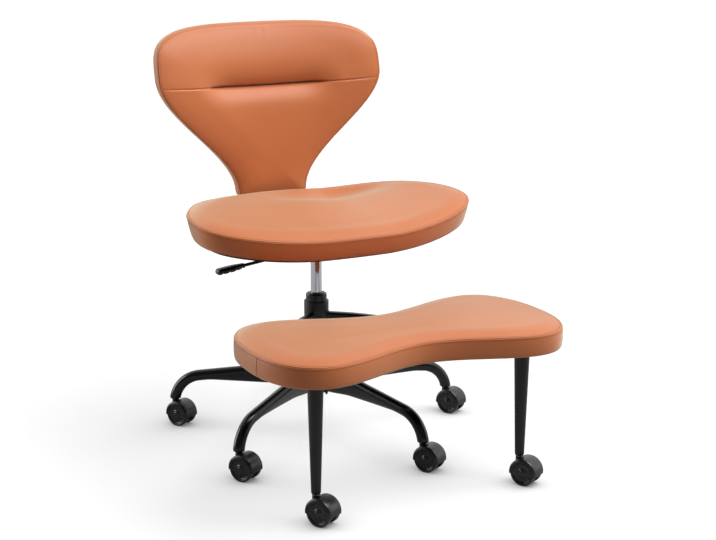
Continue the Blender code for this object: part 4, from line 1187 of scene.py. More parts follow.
@dataclass
class Slab:
    """A solid between two grids laid over a sheet, closed round its edge by rings."""

    sheet: Sheet
    name: str
    node: str
    across: int = 96
    along: int = 60
    rim_inset: float = 0.01
    crown: float = 0.0
    crown_reach: float = 0.045
    crown_power: float = 2.0
    top: float = 0.0
    bottom: float = 0.0
    groove: float = 0.0
    groove_width: float = 0.0011
    groove_start: float = 0.0015
    seam_end: float = 0.3
    join_rows: Point = (5.0, 0.004)
    tuck_rows: Point = (3.5, 0.016)

    def rise(self, inset: Array) -> Array:
        """Return the share of the crown that is reached at an inset."""
        return 1.0 - (1.0 - np.clip(inset / self.crown_reach, 0.0, 1.0)) ** self.crown_power

    def rings(self) -> list[Ring]:
        """Return the rings from the face's rim round to the back's."""
        raise NotImplementedError

    def spread(self, curve: Outline, start: float, stop: float, count: int) -> Array:
        """Divide part of the curve into steps that are shorter near joins and marked rows.

        Args:
            curve: The seam's plan curve.
            start: The first length.
            stop: The last length.
            count: The number of steps.

        Returns:
            The lengths, one more than the steps.
        """
        fine = np.linspace(start, stop, 4000)
        weight = np.ones(len(fine))
        marked = ((self.sheet.joins(), self.join_rows), (self.sheet.rows_near(), self.tuck_rows))
        for places, (strength, width) in marked:
            for place in places:
                gap = curve.gap_along(fine, curve.length_near(place))
                weight += strength * np.exp(-(gap / width) ** 2)
        walked = np.concatenate([[0.0], np.cumsum((weight[1:] + weight[:-1]) / 2)])
        return np.interp(np.linspace(0.0, walked[-1], count + 1), walked, fine)

    def rim_lengths(self, curve: Outline) -> list[Array]:
        """Divide the curve into the grid's four sides.

        Args:
            curve: The seam's plan curve.

        Returns:
            The lengths along each side, from corner to corner.
        """
        marks = [curve.length_near(place) for place in self.sheet.corners()]
        marks.append(marks[0] + curve.total)
        for i in range(1, 4):
            while marks[i] < marks[i - 1]:
                marks[i] += curve.total
        counts = (self.across, self.along, self.across, self.along)
        return [self.spread(curve, marks[i], marks[i + 1], counts[i]) for i in range(4)]

    def plan(self, curve: Outline) -> tuple[Array, Array]:
        """Spread a grid over the inside of the outline.

        Args:
            curve: The seam's plan curve.

        Returns:
            The grid's plan points, by row and column, and the curve lengths of its rim in order.
        """
        sides = self.rim_lengths(curve)
        bottom, east, top, west = (curve.at(side) - curve.outward(side) * self.rim_inset for side in sides)
        top, west = top[::-1], west[::-1]
        u = np.linspace(0.0, 1.0, self.across + 1)[None, :, None]
        v = np.linspace(0.0, 1.0, self.along + 1)[:, None, None]
        grid = (1 - v) * bottom[None] + v * top[None] + (1 - u) * west[:, None] + u * east[:, None]
        grid = grid - ((1 - u) * (1 - v) * bottom[0] + u * (1 - v) * bottom[-1]
                       + (1 - u) * v * top[0] + u * v * top[-1])
        return self.sheet.straighten(grid), np.concatenate([side[:-1] for side in sides])

    def rim_cells(self) -> list[tuple[int, int]]:
        """Walk round the grid's rim, anticlockwise from its first corner.

        Returns:
            The row and the column of each point.
        """
        last_row, last_column = self.along, self.across
        cells = [(0, i) for i in range(last_column)]
        cells += [(i, last_column) for i in range(last_row)]
        cells += [(last_row, last_column - i) for i in range(last_column)]
        return cells + [(last_row - i, 0) for i in range(last_row)]

    def rolled(self, row: Ring) -> Ring:
        """Return the place of a ring where the face rolls over the rim; a board has no such place."""
        return row

    def grooved(self, curve: Outline, lengths: Array) -> Array:
        """Find how deep the joins' grooves cut in.

        Args:
            curve: The seam's plan curve.
            lengths: Where along it.

        Returns:
            The depths.
        """
        depth = np.zeros(len(lengths))
        for place in self.sheet.joins():
            gap = curve.gap_along(lengths, curve.length_near(place))
            depth += self.groove * np.exp(-(gap / self.groove_width) ** 2)
        return depth

    def grids(self, shape: Shape, curve: Outline, grid: Array) -> list[list[Corner]]:
        """Add the face and the back, each a grid laid over the sheet, and number their rims.

        Args:
            shape: The bmesh, with a number layer.
            curve: The seam's plan curve.
            grid: The plan points, by row and column.

        Returns:
            The corners of the face and those of the back.
        """
        number = shape.verts.layers.int["number"]
        edge_of = {cell: i for i, cell in enumerate(self.rim_cells())}
        flat = grid.reshape(-1, 2)
        none = np.zeros(len(flat))
        share = self.rise(curve.inset(flat)) if self.crown > 0.0 else none
        faces = []
        for height, reached in ((self.top + self.crown * share, share), (none + self.bottom, none)):
            made = bmesh.ops.create_grid(shape, x_segments=self.across, y_segments=self.along,
                                         size=1.0)["verts"]
            places = self.sheet.place(flat, height, reached)
            for vert in made:
                column = round((vert.co.x + 1.0) / 2.0 * self.across)
                row = round((vert.co.y + 1.0) / 2.0 * self.along)
                vert.co = places[row * (self.across + 1) + column]
                vert[number] = edge_of.get((row, column), -1)
            faces.append(made)
        return faces

    def cage(self) -> Shape:
        """Build the closed solid: face, edge rings and back.

        Returns:
            The mesh, with its faces outward.
        """
        curve = self.sheet.outline()
        grid, rim = self.plan(curve)
        shape = bmesh.new()
        number = shape.verts.layers.int.new("number")
        role = shape.verts.layers.int.new("role")
        front, back = (set(made) for made in self.grids(shape, curve, grid))
        edges = [edge for edge in shape.edges if edge.is_boundary and set(edge.verts) <= front]
        start, outward, cut = curve.at(rim), curve.outward(rim), self.grooved(curve, rim)
        soft = self.sheet.softness(start)
        for row in self.rings():
            over = self.rolled(row)
            inset = row.inset + (over.inset - row.inset) * soft
            inset = inset + (cut if row.height < -self.groove_start else 0.0)
            height = row.height + (over.height - row.height) * soft
            reached = self.rise(np.maximum(inset, 0.0)) * (row.height >= 0.0) * (self.crown > 0.0)
            places = self.sheet.place(start - outward * inset[:, None], height, reached)
            fresh, edges = extruded(shape, edges)
            for vert in fresh:
                vert.co = places[vert[number]]
                sewn = soft[vert[number]] < self.seam_end
                vert[role] = row.role.value if sewn else Role.PLAIN.value
        back_edges = [edge for edge in shape.edges if edge.is_boundary and set(edge.verts) <= back]
        bmesh.ops.bridge_loops(shape, edges=edges + back_edges)
        bmesh.ops.recalc_face_normals(shape, faces=shape.faces)
        return shape


@dataclass
class Board(Slab):
    """A stiff board or moulded shell behind a cushion, with rounded edges."""

    finish: Finish | None = None
    inset: float = 0.03
    edge: float = 0.0018

    def rings(self) -> list[Ring]:
        """Round the upper and the lower edge.

        Returns:
            The rings from the face's rim round to the back's.
        """
        turn = [(1.0, 0.0), (0.35, 0.1), (0.1, 0.35), (0.0, 1.0)]
        upper = [Ring(self.inset + self.edge * a, self.top - self.edge * b) for a, b in turn]
        return upper + [Ring(self.inset + self.edge * a, self.bottom + self.edge * b) for a, b in turn[::-1]]

    def build(self) -> Piece:
        """Make the board."""
        return new_piece(self.name, self.cage(), self.finish, self.node, sharp=BOARD_SHARP)


@dataclass
class Cushion(Slab):
    """A leather cushion: a crowned face, a sewn seam with topstitching, a boxing strip and a flat back."""

    boxing: float = 0.033
    bulge: float = 0.0014
    lean: float = 0.0
    seam_reach: float = 0.0044
    beside_seam: float = 0.0013
    lip_reach: float = 0.0017
    ditch_reach: float = 0.0008
    ditch: float = 0.0026
    lip: float = 0.0004
    plain_margin: float = 0.004
    back_edge: tuple[Point, ...] = ((0.0004, 0.0016), (0.0022, 0.0), (0.006, 0.0))
    pitch: float = 0.005
    stitch: Triple = (0.0034, 0.0011, 0.0009)
    thread_out: float = 0.0004
    thread_end: float = 0.05
    look: float = 0.001
    pressure: float = 4.0
    stretch_stiffness: float = 25.0
    shear_stiffness: float = 12.0
    bending_stiffness: float = 6.0
    steps: int = 16
    evening: int = 40
    puff: float = 0.003
    held_rim: float = 0.012
    held_fade: float = 0.075
    fill: float = 0.85
    groove: float = 0.0014
    roll: float = 0.013

    def on_face(self, inset: float, role: Role = Role.PLAIN) -> Ring:
        """Return a ring on the crowned face."""
        return Ring(inset, self.crown * float(self.rise(np.array(inset))), role)

    def rings(self) -> list[Ring]:
        """Lay the rings from the face's rim, over the seam and down to the back.

        Returns:
            The rings, in order.
        """
        reach, beside = self.seam_reach, self.beside_seam
        rows = [self.on_face(self.rim_inset * 0.75), self.on_face(reach + beside),
                self.on_face(reach, Role.STITCH), self.on_face(reach - beside),
                self.on_face(self.lip_reach, Role.LIP), self.on_face(self.ditch_reach),
                Ring(0.0, 0.0, Role.DITCH)]
        downs = [self.ditch_reach, self.lip_reach, reach - beside, reach, reach + beside]
        downs += list(np.linspace(reach + self.plain_margin, self.boxing - self.plain_margin, 5))
        roles = {self.lip_reach: Role.LIP, reach: Role.STITCH}
        for down in downs:
            swell = self.bulge * math.sin(math.pi * min(down / self.boxing, 1.0))
            rows.append(Ring(self.lean * down / self.boxing - swell, -down, roles.get(down, Role.PLAIN)))
        return rows + [Ring(self.lean + inset, rise - self.boxing) for inset, rise in self.back_edge]

    def rolled(self, row: Ring) -> Ring:
        """Move a ring near the seam onto a quarter circle.

        Args:
            row: The ring.

        Returns:
            Its new place, or the old one where it lies off the circle.
        """
        start = self.crown * float(self.rise(np.array(self.roll)))
        walked = self.roll - row.inset if row.height >= 0.0 else self.roll - row.height
        share = walked / (self.roll * 2.0 - start)
        if walked < 0.0 or share > 1.0:
            return row
        turn = RIGHT_ANGLE * share
        return Ring(self.roll * (1.0 - math.sin(turn)), start - self.roll * (1.0 - math.cos(turn)))

    def build(self) -> Piece:
        """Make the cover, blow it up a little, and sew it.

        Returns:
            The cover.
        """
        self.bottom = -self.boxing
        cover = new_piece(self.name + "_cover", self.cage(), LEATHER, self.node, sharp=COVER_SHARP)
        self.inflate(cover)
        self.sew(cover)
        self.topstitch()
        return cover

    def looseness(self, curve: Outline, flat: Array) -> Array:
        """Return how freely each plan point of the face may swell, from 0 at the seam to 1."""
        return eased((curve.inset(flat) - self.held_rim) / self.held_fade)

    def pressed(self, cover: Piece, free: Array) -> Array:
        """Blow the cover up as cloth under air pressure.

        Args:
            cover: The cover.
            free: How freely each of its points moves, from 0 to 1.

        Returns:
            The places of its points after the last step.
        """
        held = cover.vertex_groups.new(name="held")
        for index, value in enumerate(free):
            held.add([index], 1.0 - float(value), "REPLACE")
        cloth = cover.modifiers.new("air", "CLOTH")
        values = cloth.settings
        values.vertex_group_mass = "held"
        values.use_pressure = True
        values.uniform_pressure_force = self.pressure
        values.quality = 4
        values.tension_stiffness = values.compression_stiffness = self.stretch_stiffness
        values.shear_stiffness = self.shear_stiffness
        values.bending_stiffness = self.bending_stiffness
        values.effector_weights.gravity = 0.0
        scene = bpy.context.scene
        for step in range(1, self.steps + 1):
            scene.frame_set(step)
        places = places_of(cover.evaluated_get(bpy.context.evaluated_depsgraph_get()).data)
        cover.modifiers.remove(cloth)
        cover.vertex_groups.remove(held)
        scene.frame_set(1)
        return places

    def inflate(self, cover: Piece) -> None:
        """Let the face swell, evened and limited, and keep the result.

        Args:
            cover: The cover.
        """
        rest = places_of(cover.data)
        count = (self.across + 1) * (self.along + 1)
        free = np.zeros(len(rest))
        free[:count] = self.looseness(self.sheet.outline(), self.sheet.flatten(rest[:count]))
        shift = self.pressed(cover, free) - rest
        shift[:count] = self.evened(shift[:count])
        size = np.linalg.norm(shift, axis=1, keepdims=True) + 1e-9
        shift *= self.puff * np.tanh(size / self.puff) / size * free[:, None]
        cover.data.vertices.foreach_set("co", (rest + shift).ravel())
        cover.data.update()
        log.info("%s: the cloth moved by up to %.1f mm", self.name, float(size.max()) * 1000.0)

    def evened(self, shift: Array) -> Array:
        """Average the simulation's small wrinkles away, as firm foam does.

        Args:
            shift: The moves of the face's points, row by row.

        Returns:
            The moves after some rounds of averaging each with its four neighbours.
        """
        grid = shift.reshape(self.along + 1, self.across + 1, 3)
        for _ in range(self.evening):
            wide = np.pad(grid, ((1, 1), (1, 1), (0, 0)), mode="edge")
            grid = (wide[:-2, 1:-1] + wide[2:, 1:-1] + wide[1:-1, :-2] + wide[1:-1, 2:]) / 4.0
        return grid.reshape(-1, 3)

    def sew(self, cover: Piece) -> None:
        """Press the seam's ditch and the stitch rows into the cover, and lift the lips beside them.

        Args:
            cover: The cover.
        """
        shape = bmesh.new()
        shape.from_mesh(cover.data)
        role = shape.verts.layers.int["role"]
        shape.normal_update()
        moves = {Role.DITCH.value: -self.ditch, Role.LIP.value: self.lip, Role.STITCH.value: -self.lip}
        shifts = [(vert, vert.normal * moves[vert[role]]) for vert in shape.verts if vert[role] in moves]
        for vert, shift in shifts:
            vert.co += shift
        shape.to_mesh(cover.data)
        shape.free()

    def stitched(self, curve: Outline, row: Ring, share: float, lengths: Array, lift: float = 0.0) -> Array:
        """Find places on a stitch row or just over it.

        Args:
            curve: The seam's plan curve.
            row: The row, on the face where its height is over the seam, or else on the boxing.
            share: How much of the crown is reached there.
            lengths: Where along the curve.
            lift: How far out of the leather.

        Returns:
            The places.
        """
        out, up = (0.0, lift) if row.height > 0.0 else (lift, 0.0)
        aside = curve.at(lengths) - curve.outward(lengths) * (row.inset - out)
        height = np.full(len(lengths), row.height + up)
        return self.sheet.place(aside, height, np.full(len(lengths), share))

    def topstitch(self) -> None:
        """Lay a row of thread on both sides of the seam, each stitch a small capsule."""
        curve = self.sheet.outline()
        count = int(curve.total / self.pitch)
        middle = np.arange(count) * curve.total / count
        middle = middle[self.sheet.softness(curve.at(middle)) < self.thread_end]
        share = float(self.rise(np.array(self.seam_reach)))
        ball = bmesh.new()
        bmesh.ops.create_uvsphere(ball, u_segments=6, v_segments=4, radius=0.5,
                                  matrix=Matrix.Diagonal((*self.stitch, 1.0)))
        capsule = bpy.data.meshes.new("capsule")
        ball.to_mesh(capsule)
        ball.free()
        total = bmesh.new()
        rows = ((self.on_face(self.seam_reach), share), (Ring(-self.thread_out, -self.seam_reach), 0.0))
        for row, reached in rows:
            here = self.stitched(curve, row, reached, middle)
            ahead = self.stitched(curve, row, reached, middle + self.look)
            above = self.stitched(curve, row, reached, middle, self.look)
            for place, onward, over in zip(here, ahead, above):
                x = Vector(onward - place).normalized()
                z = Vector(over - place)
                z = (z - x * z.dot(x)).normalized()
                stand = Matrix.Translation(place) @ Matrix((x, z.cross(x), z)).transposed().to_4x4()
                capsule.transform(stand)
                total.from_mesh(capsule)
                capsule.transform(stand.inverted())
        bpy.data.meshes.remove(capsule)
        new_piece(self.name + "_thread", total, THREAD, self.node, stands_for=False)


# Column and base


@dataclass
class Column:
    """Hub, gas lift and the footrest's sleeve, all turned about the column's axis."""

    hub_radius: float = 0.0315
    tube_radius: float = 0.0225
    tube_wall: float = 0.005
    tube_floor: float = 0.008
    rod_radius: float = 0.012
    taper_length: float = 0.037
    taper_drop: float = 0.0012
    valve_bore: float = 0.0043
    valve_depth: float = 0.0135
    sleeve_radius: float = 0.0265
    sleeve_wall: float = 0.0024
    stop_radius: float = 0.0275
    gap: float = 0.0003

    def turn(self, node: str, shape: Shape, finish: Finish) -> None:
        """Put a turned shape on the axis in place of a node."""
        new_piece(node + "_turned", moved(shape, at_axis()), finish, node)

    def ring(self, node: str, outer: float, inner: float, edge: float, finish: Finish) -> None:
        """Put a plain ring on the axis, as tall as its node."""
        self.turn(node, ring(outer, inner, *span(node), edge), finish)

    def tube(self, bore: float) -> Shape:
        """Turn the gas lift's tube, closed at its foot.

        Args:
            bore: Its inner radius.

        Returns:
            The tube.
        """
        low, high = span("gas_lift_tube")
        section = [(0.0, low + self.tube_floor), (bore, low + self.tube_floor), (bore, high),
                   (self.tube_radius, high), (self.tube_radius, low), (0.0, low)]
        return turned(rounded(section, 0.0032, 6))

    def rod(self) -> Shape:
        """Turn the piston rod, with its tapered end and the valve's bore.

        Returns:
            The rod.
        """
        low, high = span("gas_lift_rod")
        section = [(0.0, high - self.valve_depth), (self.valve_bore, high - self.valve_depth),
                   (self.valve_bore, high), (self.rod_radius - self.taper_drop, high),
                   (self.rod_radius, high - self.taper_length), (self.rod_radius, low), (0.0, low)]
        return turned(rounded(section, 0.0008))

    def build(self) -> None:
        """Make each ring and rod at its node's own height."""
        bore, sleeve_bore = self.tube_radius - self.tube_wall, self.sleeve_radius - self.sleeve_wall
        snug, rod = self.tube_radius + self.gap, self.rod_radius + self.gap
        self.ring("base_hub", self.hub_radius, snug, 0.0022, POWDER)
        self.turn("gas_lift_tube", self.tube(bore), POWDER)
        self.ring("rod_guide", bore - self.gap, rod, 0.0008, NYLON)
        self.turn("gas_lift_rod", self.rod(), CHROME)
        self.ring("footrest_stop_ring", self.stop_radius, snug, 0.0014, STEEL)
        self.ring("footrest_sleeve", self.sleeve_radius, sleeve_bore, 0.0009, SATIN)
        self.ring("footrest_bush", sleeve_bore - self.gap, snug, 0.0003, NYLON)


@dataclass
class StarBase:
    """Five arched tubes, pressed down into a web from the hub to the bend."""

    count: int = 5
    radius: float = 0.32
    turn: float = math.radians(-1.35)
    hub_radius: float = 0.0315
    tube: float = 0.012
    root_height: float = 0.148
    fall: float = math.radians(8.5)
    bend_end: float = math.radians(78.0)
    stub: float = 0.003
    foot: float = 0.058
    foot_edge: float = 0.0012
    root_bite: float = 0.0004
    weld: tuple[Point, ...] = ((1.16, 0.0), (1.13, 0.0014), (1.04, 0.0034), (1.0, 0.0056))
    web_bottom: float = 0.1045
    web_root: float = 0.0985
    web_reach: float = 0.11
    pinch: float = 0.24
    sides: int = 44
    stations: int = 26
    bend_stations: int = 14
    bend_radius: float = field(init=False)
    bend_start: float = field(init=False)
    straight: float = field(init=False)

    def __post_init__(self) -> None:
        """Work out the bend that joins the falling tube to the upright foot."""
        sines = math.sin(self.bend_end) - math.sin(self.fall)
        cosines = math.cos(self.fall) - math.cos(self.bend_end)
        fallen = (self.radius - self.hub_radius) * math.tan(self.fall)
        drop = self.root_height - fallen - self.foot - self.stub
        self.bend_radius = drop / (cosines - sines * math.tan(self.fall))
        self.bend_start = self.radius - self.bend_radius * sines
        self.straight = (self.bend_start - self.hub_radius) / math.cos(self.fall)

    def centre(self, along: float) -> Triple:
        """Find the tube's middle.

        Args:
            along: The length from the hub.

        Returns:
            Its reach from the axis, its height and its lean.
        """
        if along <= self.straight:
            return (self.hub_radius + along * math.cos(self.fall),
                    self.root_height - along * math.sin(self.fall), self.fall)
        angle = self.fall + (along - self.straight) / self.bend_radius
        height = self.root_height - self.straight * math.sin(self.fall)
        return (self.bend_start + self.bend_radius * (math.sin(angle) - math.sin(self.fall)),
                height - self.bend_radius * (math.cos(self.fall) - math.cos(angle)), angle)

    def depth(self, reach: float, height: float) -> float:
        """Find how far the web reaches below the tube's middle.

        Args:
            reach: The middle's distance from the axis.
            height: Its height.

        Returns:
            The depth, at least the tube's own radius.
        """
        root = 1.0 - blend((reach - self.hub_radius) / (self.web_reach - self.hub_radius))
        bottom = self.web_bottom + (self.web_root - self.web_bottom) * root
        return max(height - bottom, self.tube)

    def section(self, depth: float, scale: float = 1.0) -> list[Point]:
        """Draw a section: a round top drawn down into a slim web.

        Args:
            depth: How far the web reaches below the middle.
            scale: The section's size beside the plain tube's.

        Returns:
            Sideways and downward places.
        """
        slim = min((depth - self.tube) / self.tube, 1.0)
        places = []
        for angle in angles(self.sides):
            across, down = math.cos(angle), math.sin(angle)
            narrow = 1.0 - self.pinch * slim * max(down, 0.0) ** 0.8 if down > 0.0 else 1.0
            reach = depth if down > 0.0 else self.tube
            places.append((self.tube * across * narrow * scale, reach * down * scale))
        return places

    def leg(self) -> Shape:
        """Make one leg that runs out along X from the hub.

        Returns:
            The leg.
        """
        rings = []
        lengths = [self.straight * (i + 1) / self.stations for i in range(self.stations)]
        bend = self.bend_radius * (self.bend_end - self.fall)
        lengths += [self.straight + bend * (i + 1) / self.bend_stations for i in range(self.bend_stations)]
        reach, height, _ = self.centre(0.0)
        root = self.hub_radius - self.root_bite
        for scale, out in self.weld:
            rings.append([Vector((math.sqrt(root ** 2 - (side * 0.98) ** 2) + out, side, height - down))
                          for side, down in self.section(self.depth(reach, height), scale)])
        for along in lengths:
            reach, height, angle = self.centre(along)
            straight = along <= self.straight
            lean = angle * blend(along / self.straight) if straight else angle
            depth = self.depth(reach, height) if straight else self.tube
            rings.append([Vector((reach - down * math.sin(lean), side, height - down * math.cos(lean)))
                          for side, down in self.section(depth)])
        edge = self.foot_edge
        feet = ((self.tube, self.foot + edge), (self.tube - edge * 0.3, self.foot + edge * 0.3),
                (self.tube - edge, self.foot), (SOCKET_RADIUS, self.foot),
                (SOCKET_RADIUS, self.foot + SOCKET_DEPTH))
        for radius, level in feet:
            rings.append([Vector((self.radius - radius * math.sin(a), radius * math.cos(a), level))
                          for a in angles(self.sides)])
        return loft(rings)

    def build(self) -> None:
        """Stand the five legs round the hub."""
        for i in range(self.count):
            place = at_axis() @ Matrix.Rotation(self.turn + TURN * i / self.count, 4, "Z")
            new_piece(f"arched_leg_{i + 1}", moved(self.leg(), place), POWDER, f"base_leg_{i + 1}")


@dataclass
class Caster:
    """A twin-wheel caster under a round hood; its own frame has the stem at the origin and X ahead."""

    number: int
    heading: float = math.radians(-61.0)
    trail: float = 0.016
    wheel: float = 0.0265
    wheel_width: float = 0.0115
    inner_face: float = 0.0081
    axle: float = 0.003
    sweep: float = math.radians(196.0)
    web: float = 0.006
    web_radius: float = 0.0282
    web_edge: float = 0.0005
    seat: float = 0.0066
    boss: float = 0.0075
    boss_foot: float = 0.03
    boss_top: float = 0.0565
    stem_lower: float = 0.005
    stem_upper: float = 0.0055
    flange: float = 0.0085
    flange_height: float = 0.0009
    stem_above: float = 0.0155
    stem_depth: float = 0.02
    tread: float = 0.0055
    disc_inset: float = 0.0056
    cap: float = 0.0058
    rib: Triple = (0.0062, 0.0011, 0.0011)
    rib_reach: float = 0.015
    gap: float = 0.0003
    hood: tuple[Point, ...] = ((0.0, 0.0295), (0.015, 0.0294), (0.0176, 0.0291), (0.0194, 0.0283),
                               (0.0206, 0.0269), (0.0211, 0.0249), (0.0208, 0.0244), (0.0202, 0.0246),
                               (0.0198, 0.0266), (0.019, 0.0272), (0.0, 0.0276))

    def build(self) -> None:
        """Place the body, the stem and both wheels."""
        place = box_centre(f"caster_{self.number}_stem")
        stand = Matrix.Translation((place.x, place.y, 0.0)) @ Matrix.Rotation(self.heading, 4, "Z")
        name = f"caster_{self.number}"
        new_piece(name + "_hood", moved(self.body(), stand), NYLON, name + "_body")
        new_piece(name + "_pin", moved(self.stem(), stand), STEEL, name + "_stem")
        for side, sign in (("left", 1.0), ("right", -1.0)):
            axle = Matrix.Translation((self.trail, sign * self.inner_face, self.wheel))
            turn = stand @ axle @ Matrix.Rotation(-sign * RIGHT_ANGLE, 4, "X")
            node = f"{name}_wheel_{side}"
            new_piece(node + "_tyre", moved(self.tyre(), turn), TYRE, node)
            new_piece(node + "_disc", moved(self.disc(), turn), DISC, node, stands_for=False)

    def arc(self, steps: int) -> list[float]:
        """Return even steps of the hood's sweep, from its front to its back."""
        start = RIGHT_ANGLE - self.sweep / 2
        return [start + self.sweep * i / steps for i in range(steps + 1)]

    def body(self) -> Shape:
        """Join the hood, the web, the axle and the stem's boss.

        Returns:
            The body.
        """
        half = list(self.hood)
        section = half + [(-width, radius) for width, radius in half[-2:0:-1]]
        hood = loft([[Vector((self.trail + r * math.cos(angle), w, self.wheel + r * math.sin(angle)))
                      for w, r in section] for angle in self.arc(48)])
        bore, floor = self.stem_lower + self.gap, self.boss_top - self.stem_depth
        boss = [(0.0, self.boss_foot), (self.boss, self.boss_foot), (self.boss, self.boss_top),
                (bore, self.boss_top), (bore, floor), (0.0, floor)]
        pin = self.inner_face + self.wheel_width - 0.0019
        pin_line = [(0.0, pin), (self.axle, pin), (self.axle, -pin), (0.0, -pin)]
        turn = Matrix.Translation((self.trail, 0.0, self.wheel)) @ Matrix.Rotation(RIGHT_ANGLE, 4, "X")
        return joined([hood, self.middle(), turned(rounded(boss, 0.0009), 40),
                       moved(turned(rounded(pin_line, 0.0004), 24), turn)])

    def middle(self) -> Shape:
        """Make the web between the wheels.

        Returns:
            The web.
        """
        rings = []
        edge = self.web_edge
        bevel = 2 * edge / self.web
        for side, inset in ((-1.0, edge), (-1.0 + bevel, 0.0), (1.0 - bevel, 0.0), (1.0, edge)):
            radius, foot = self.web_radius - inset, self.seat - inset
            outline = [(radius * math.cos(angle), radius * math.sin(angle)) for angle in self.arc(40)]
            outline += [(-foot, -foot), (foot, -foot)]
            rings.append([Vector((self.trail + x, side * self.web / 2, self.wheel + z)) for x, z in outline])
        return loft(rings)

    def stem(self) -> Shape:
        """Turn the steel pin with its flange.

        Returns:
            The stem.
        """
        bottom = self.boss_top + self.gap
        shoulder = bottom + self.flange_height
        top = shoulder + self.gap + self.stem_above
        foot = self.boss_top - self.stem_depth + self.gap
        line = [(0.0, top), (self.stem_upper, top), (self.stem_upper, shoulder), (self.flange, shoulder),
                (self.flange, bottom), (self.stem_lower, bottom), (self.stem_lower, foot), (0.0, foot)]
        return turned(rounded(line, 0.0004), 40)

    def tyre(self) -> Shape:
        """Turn the tread ring, its outer face upward.

        Returns:
            The tread.
        """
        outer, inner, wide = self.wheel, self.wheel - self.tread, self.wheel_width
        line = [((outer + inner) / 2, wide), (outer - 0.001, wide - 0.0002), (outer, wide - 0.0024),
                (outer, 0.0016), (outer - 0.0012, 0.0), (inner, 0.0), (inner, wide - 0.0008)]
        return turned(rounded(line + [line[0]], 0.0014)[:-1], 64, closed=True)

    def disc(self) -> Shape:
        """Join the wheel's hard middle: hub, dished face with short ribs, and a domed cap.

        Returns:
            The disc.
        """
        outer, wide, bore = self.wheel - self.disc_inset, self.wheel_width, self.axle + self.gap
        line = [(bore, wide - 0.0014), (0.008, wide - 0.0004), (0.0098, wide - 0.0022),
                (0.0186, wide - 0.0022), (0.0198, wide - 0.0006), (outer, wide - 0.0006),
                (outer, 0.0004), (bore, 0.0004), (bore, wide / 2)]
        cap = [(0.0, wide + 0.0003), (0.004, wide + 0.0001), (self.cap, wide - 0.0008),
               (self.cap, wide - 0.0016), (0.0, wide - 0.0016)]
        ribs = bmesh.new()
        for angle in angles(12):
            place = Matrix.Rotation(angle, 4, "Z") @ Matrix.Translation((self.rib_reach, 0.0, wide - 0.002))
            bmesh.ops.create_cube(ribs, size=1.0, matrix=place @ Matrix.Diagonal((*self.rib, 1.0)))
        return joined([turned(rounded(line + [line[0]], 0.0008)[:-1], 64, closed=True),
                       turned(rounded(cap, 0.0008), 32), ribs])


# Footrest frame


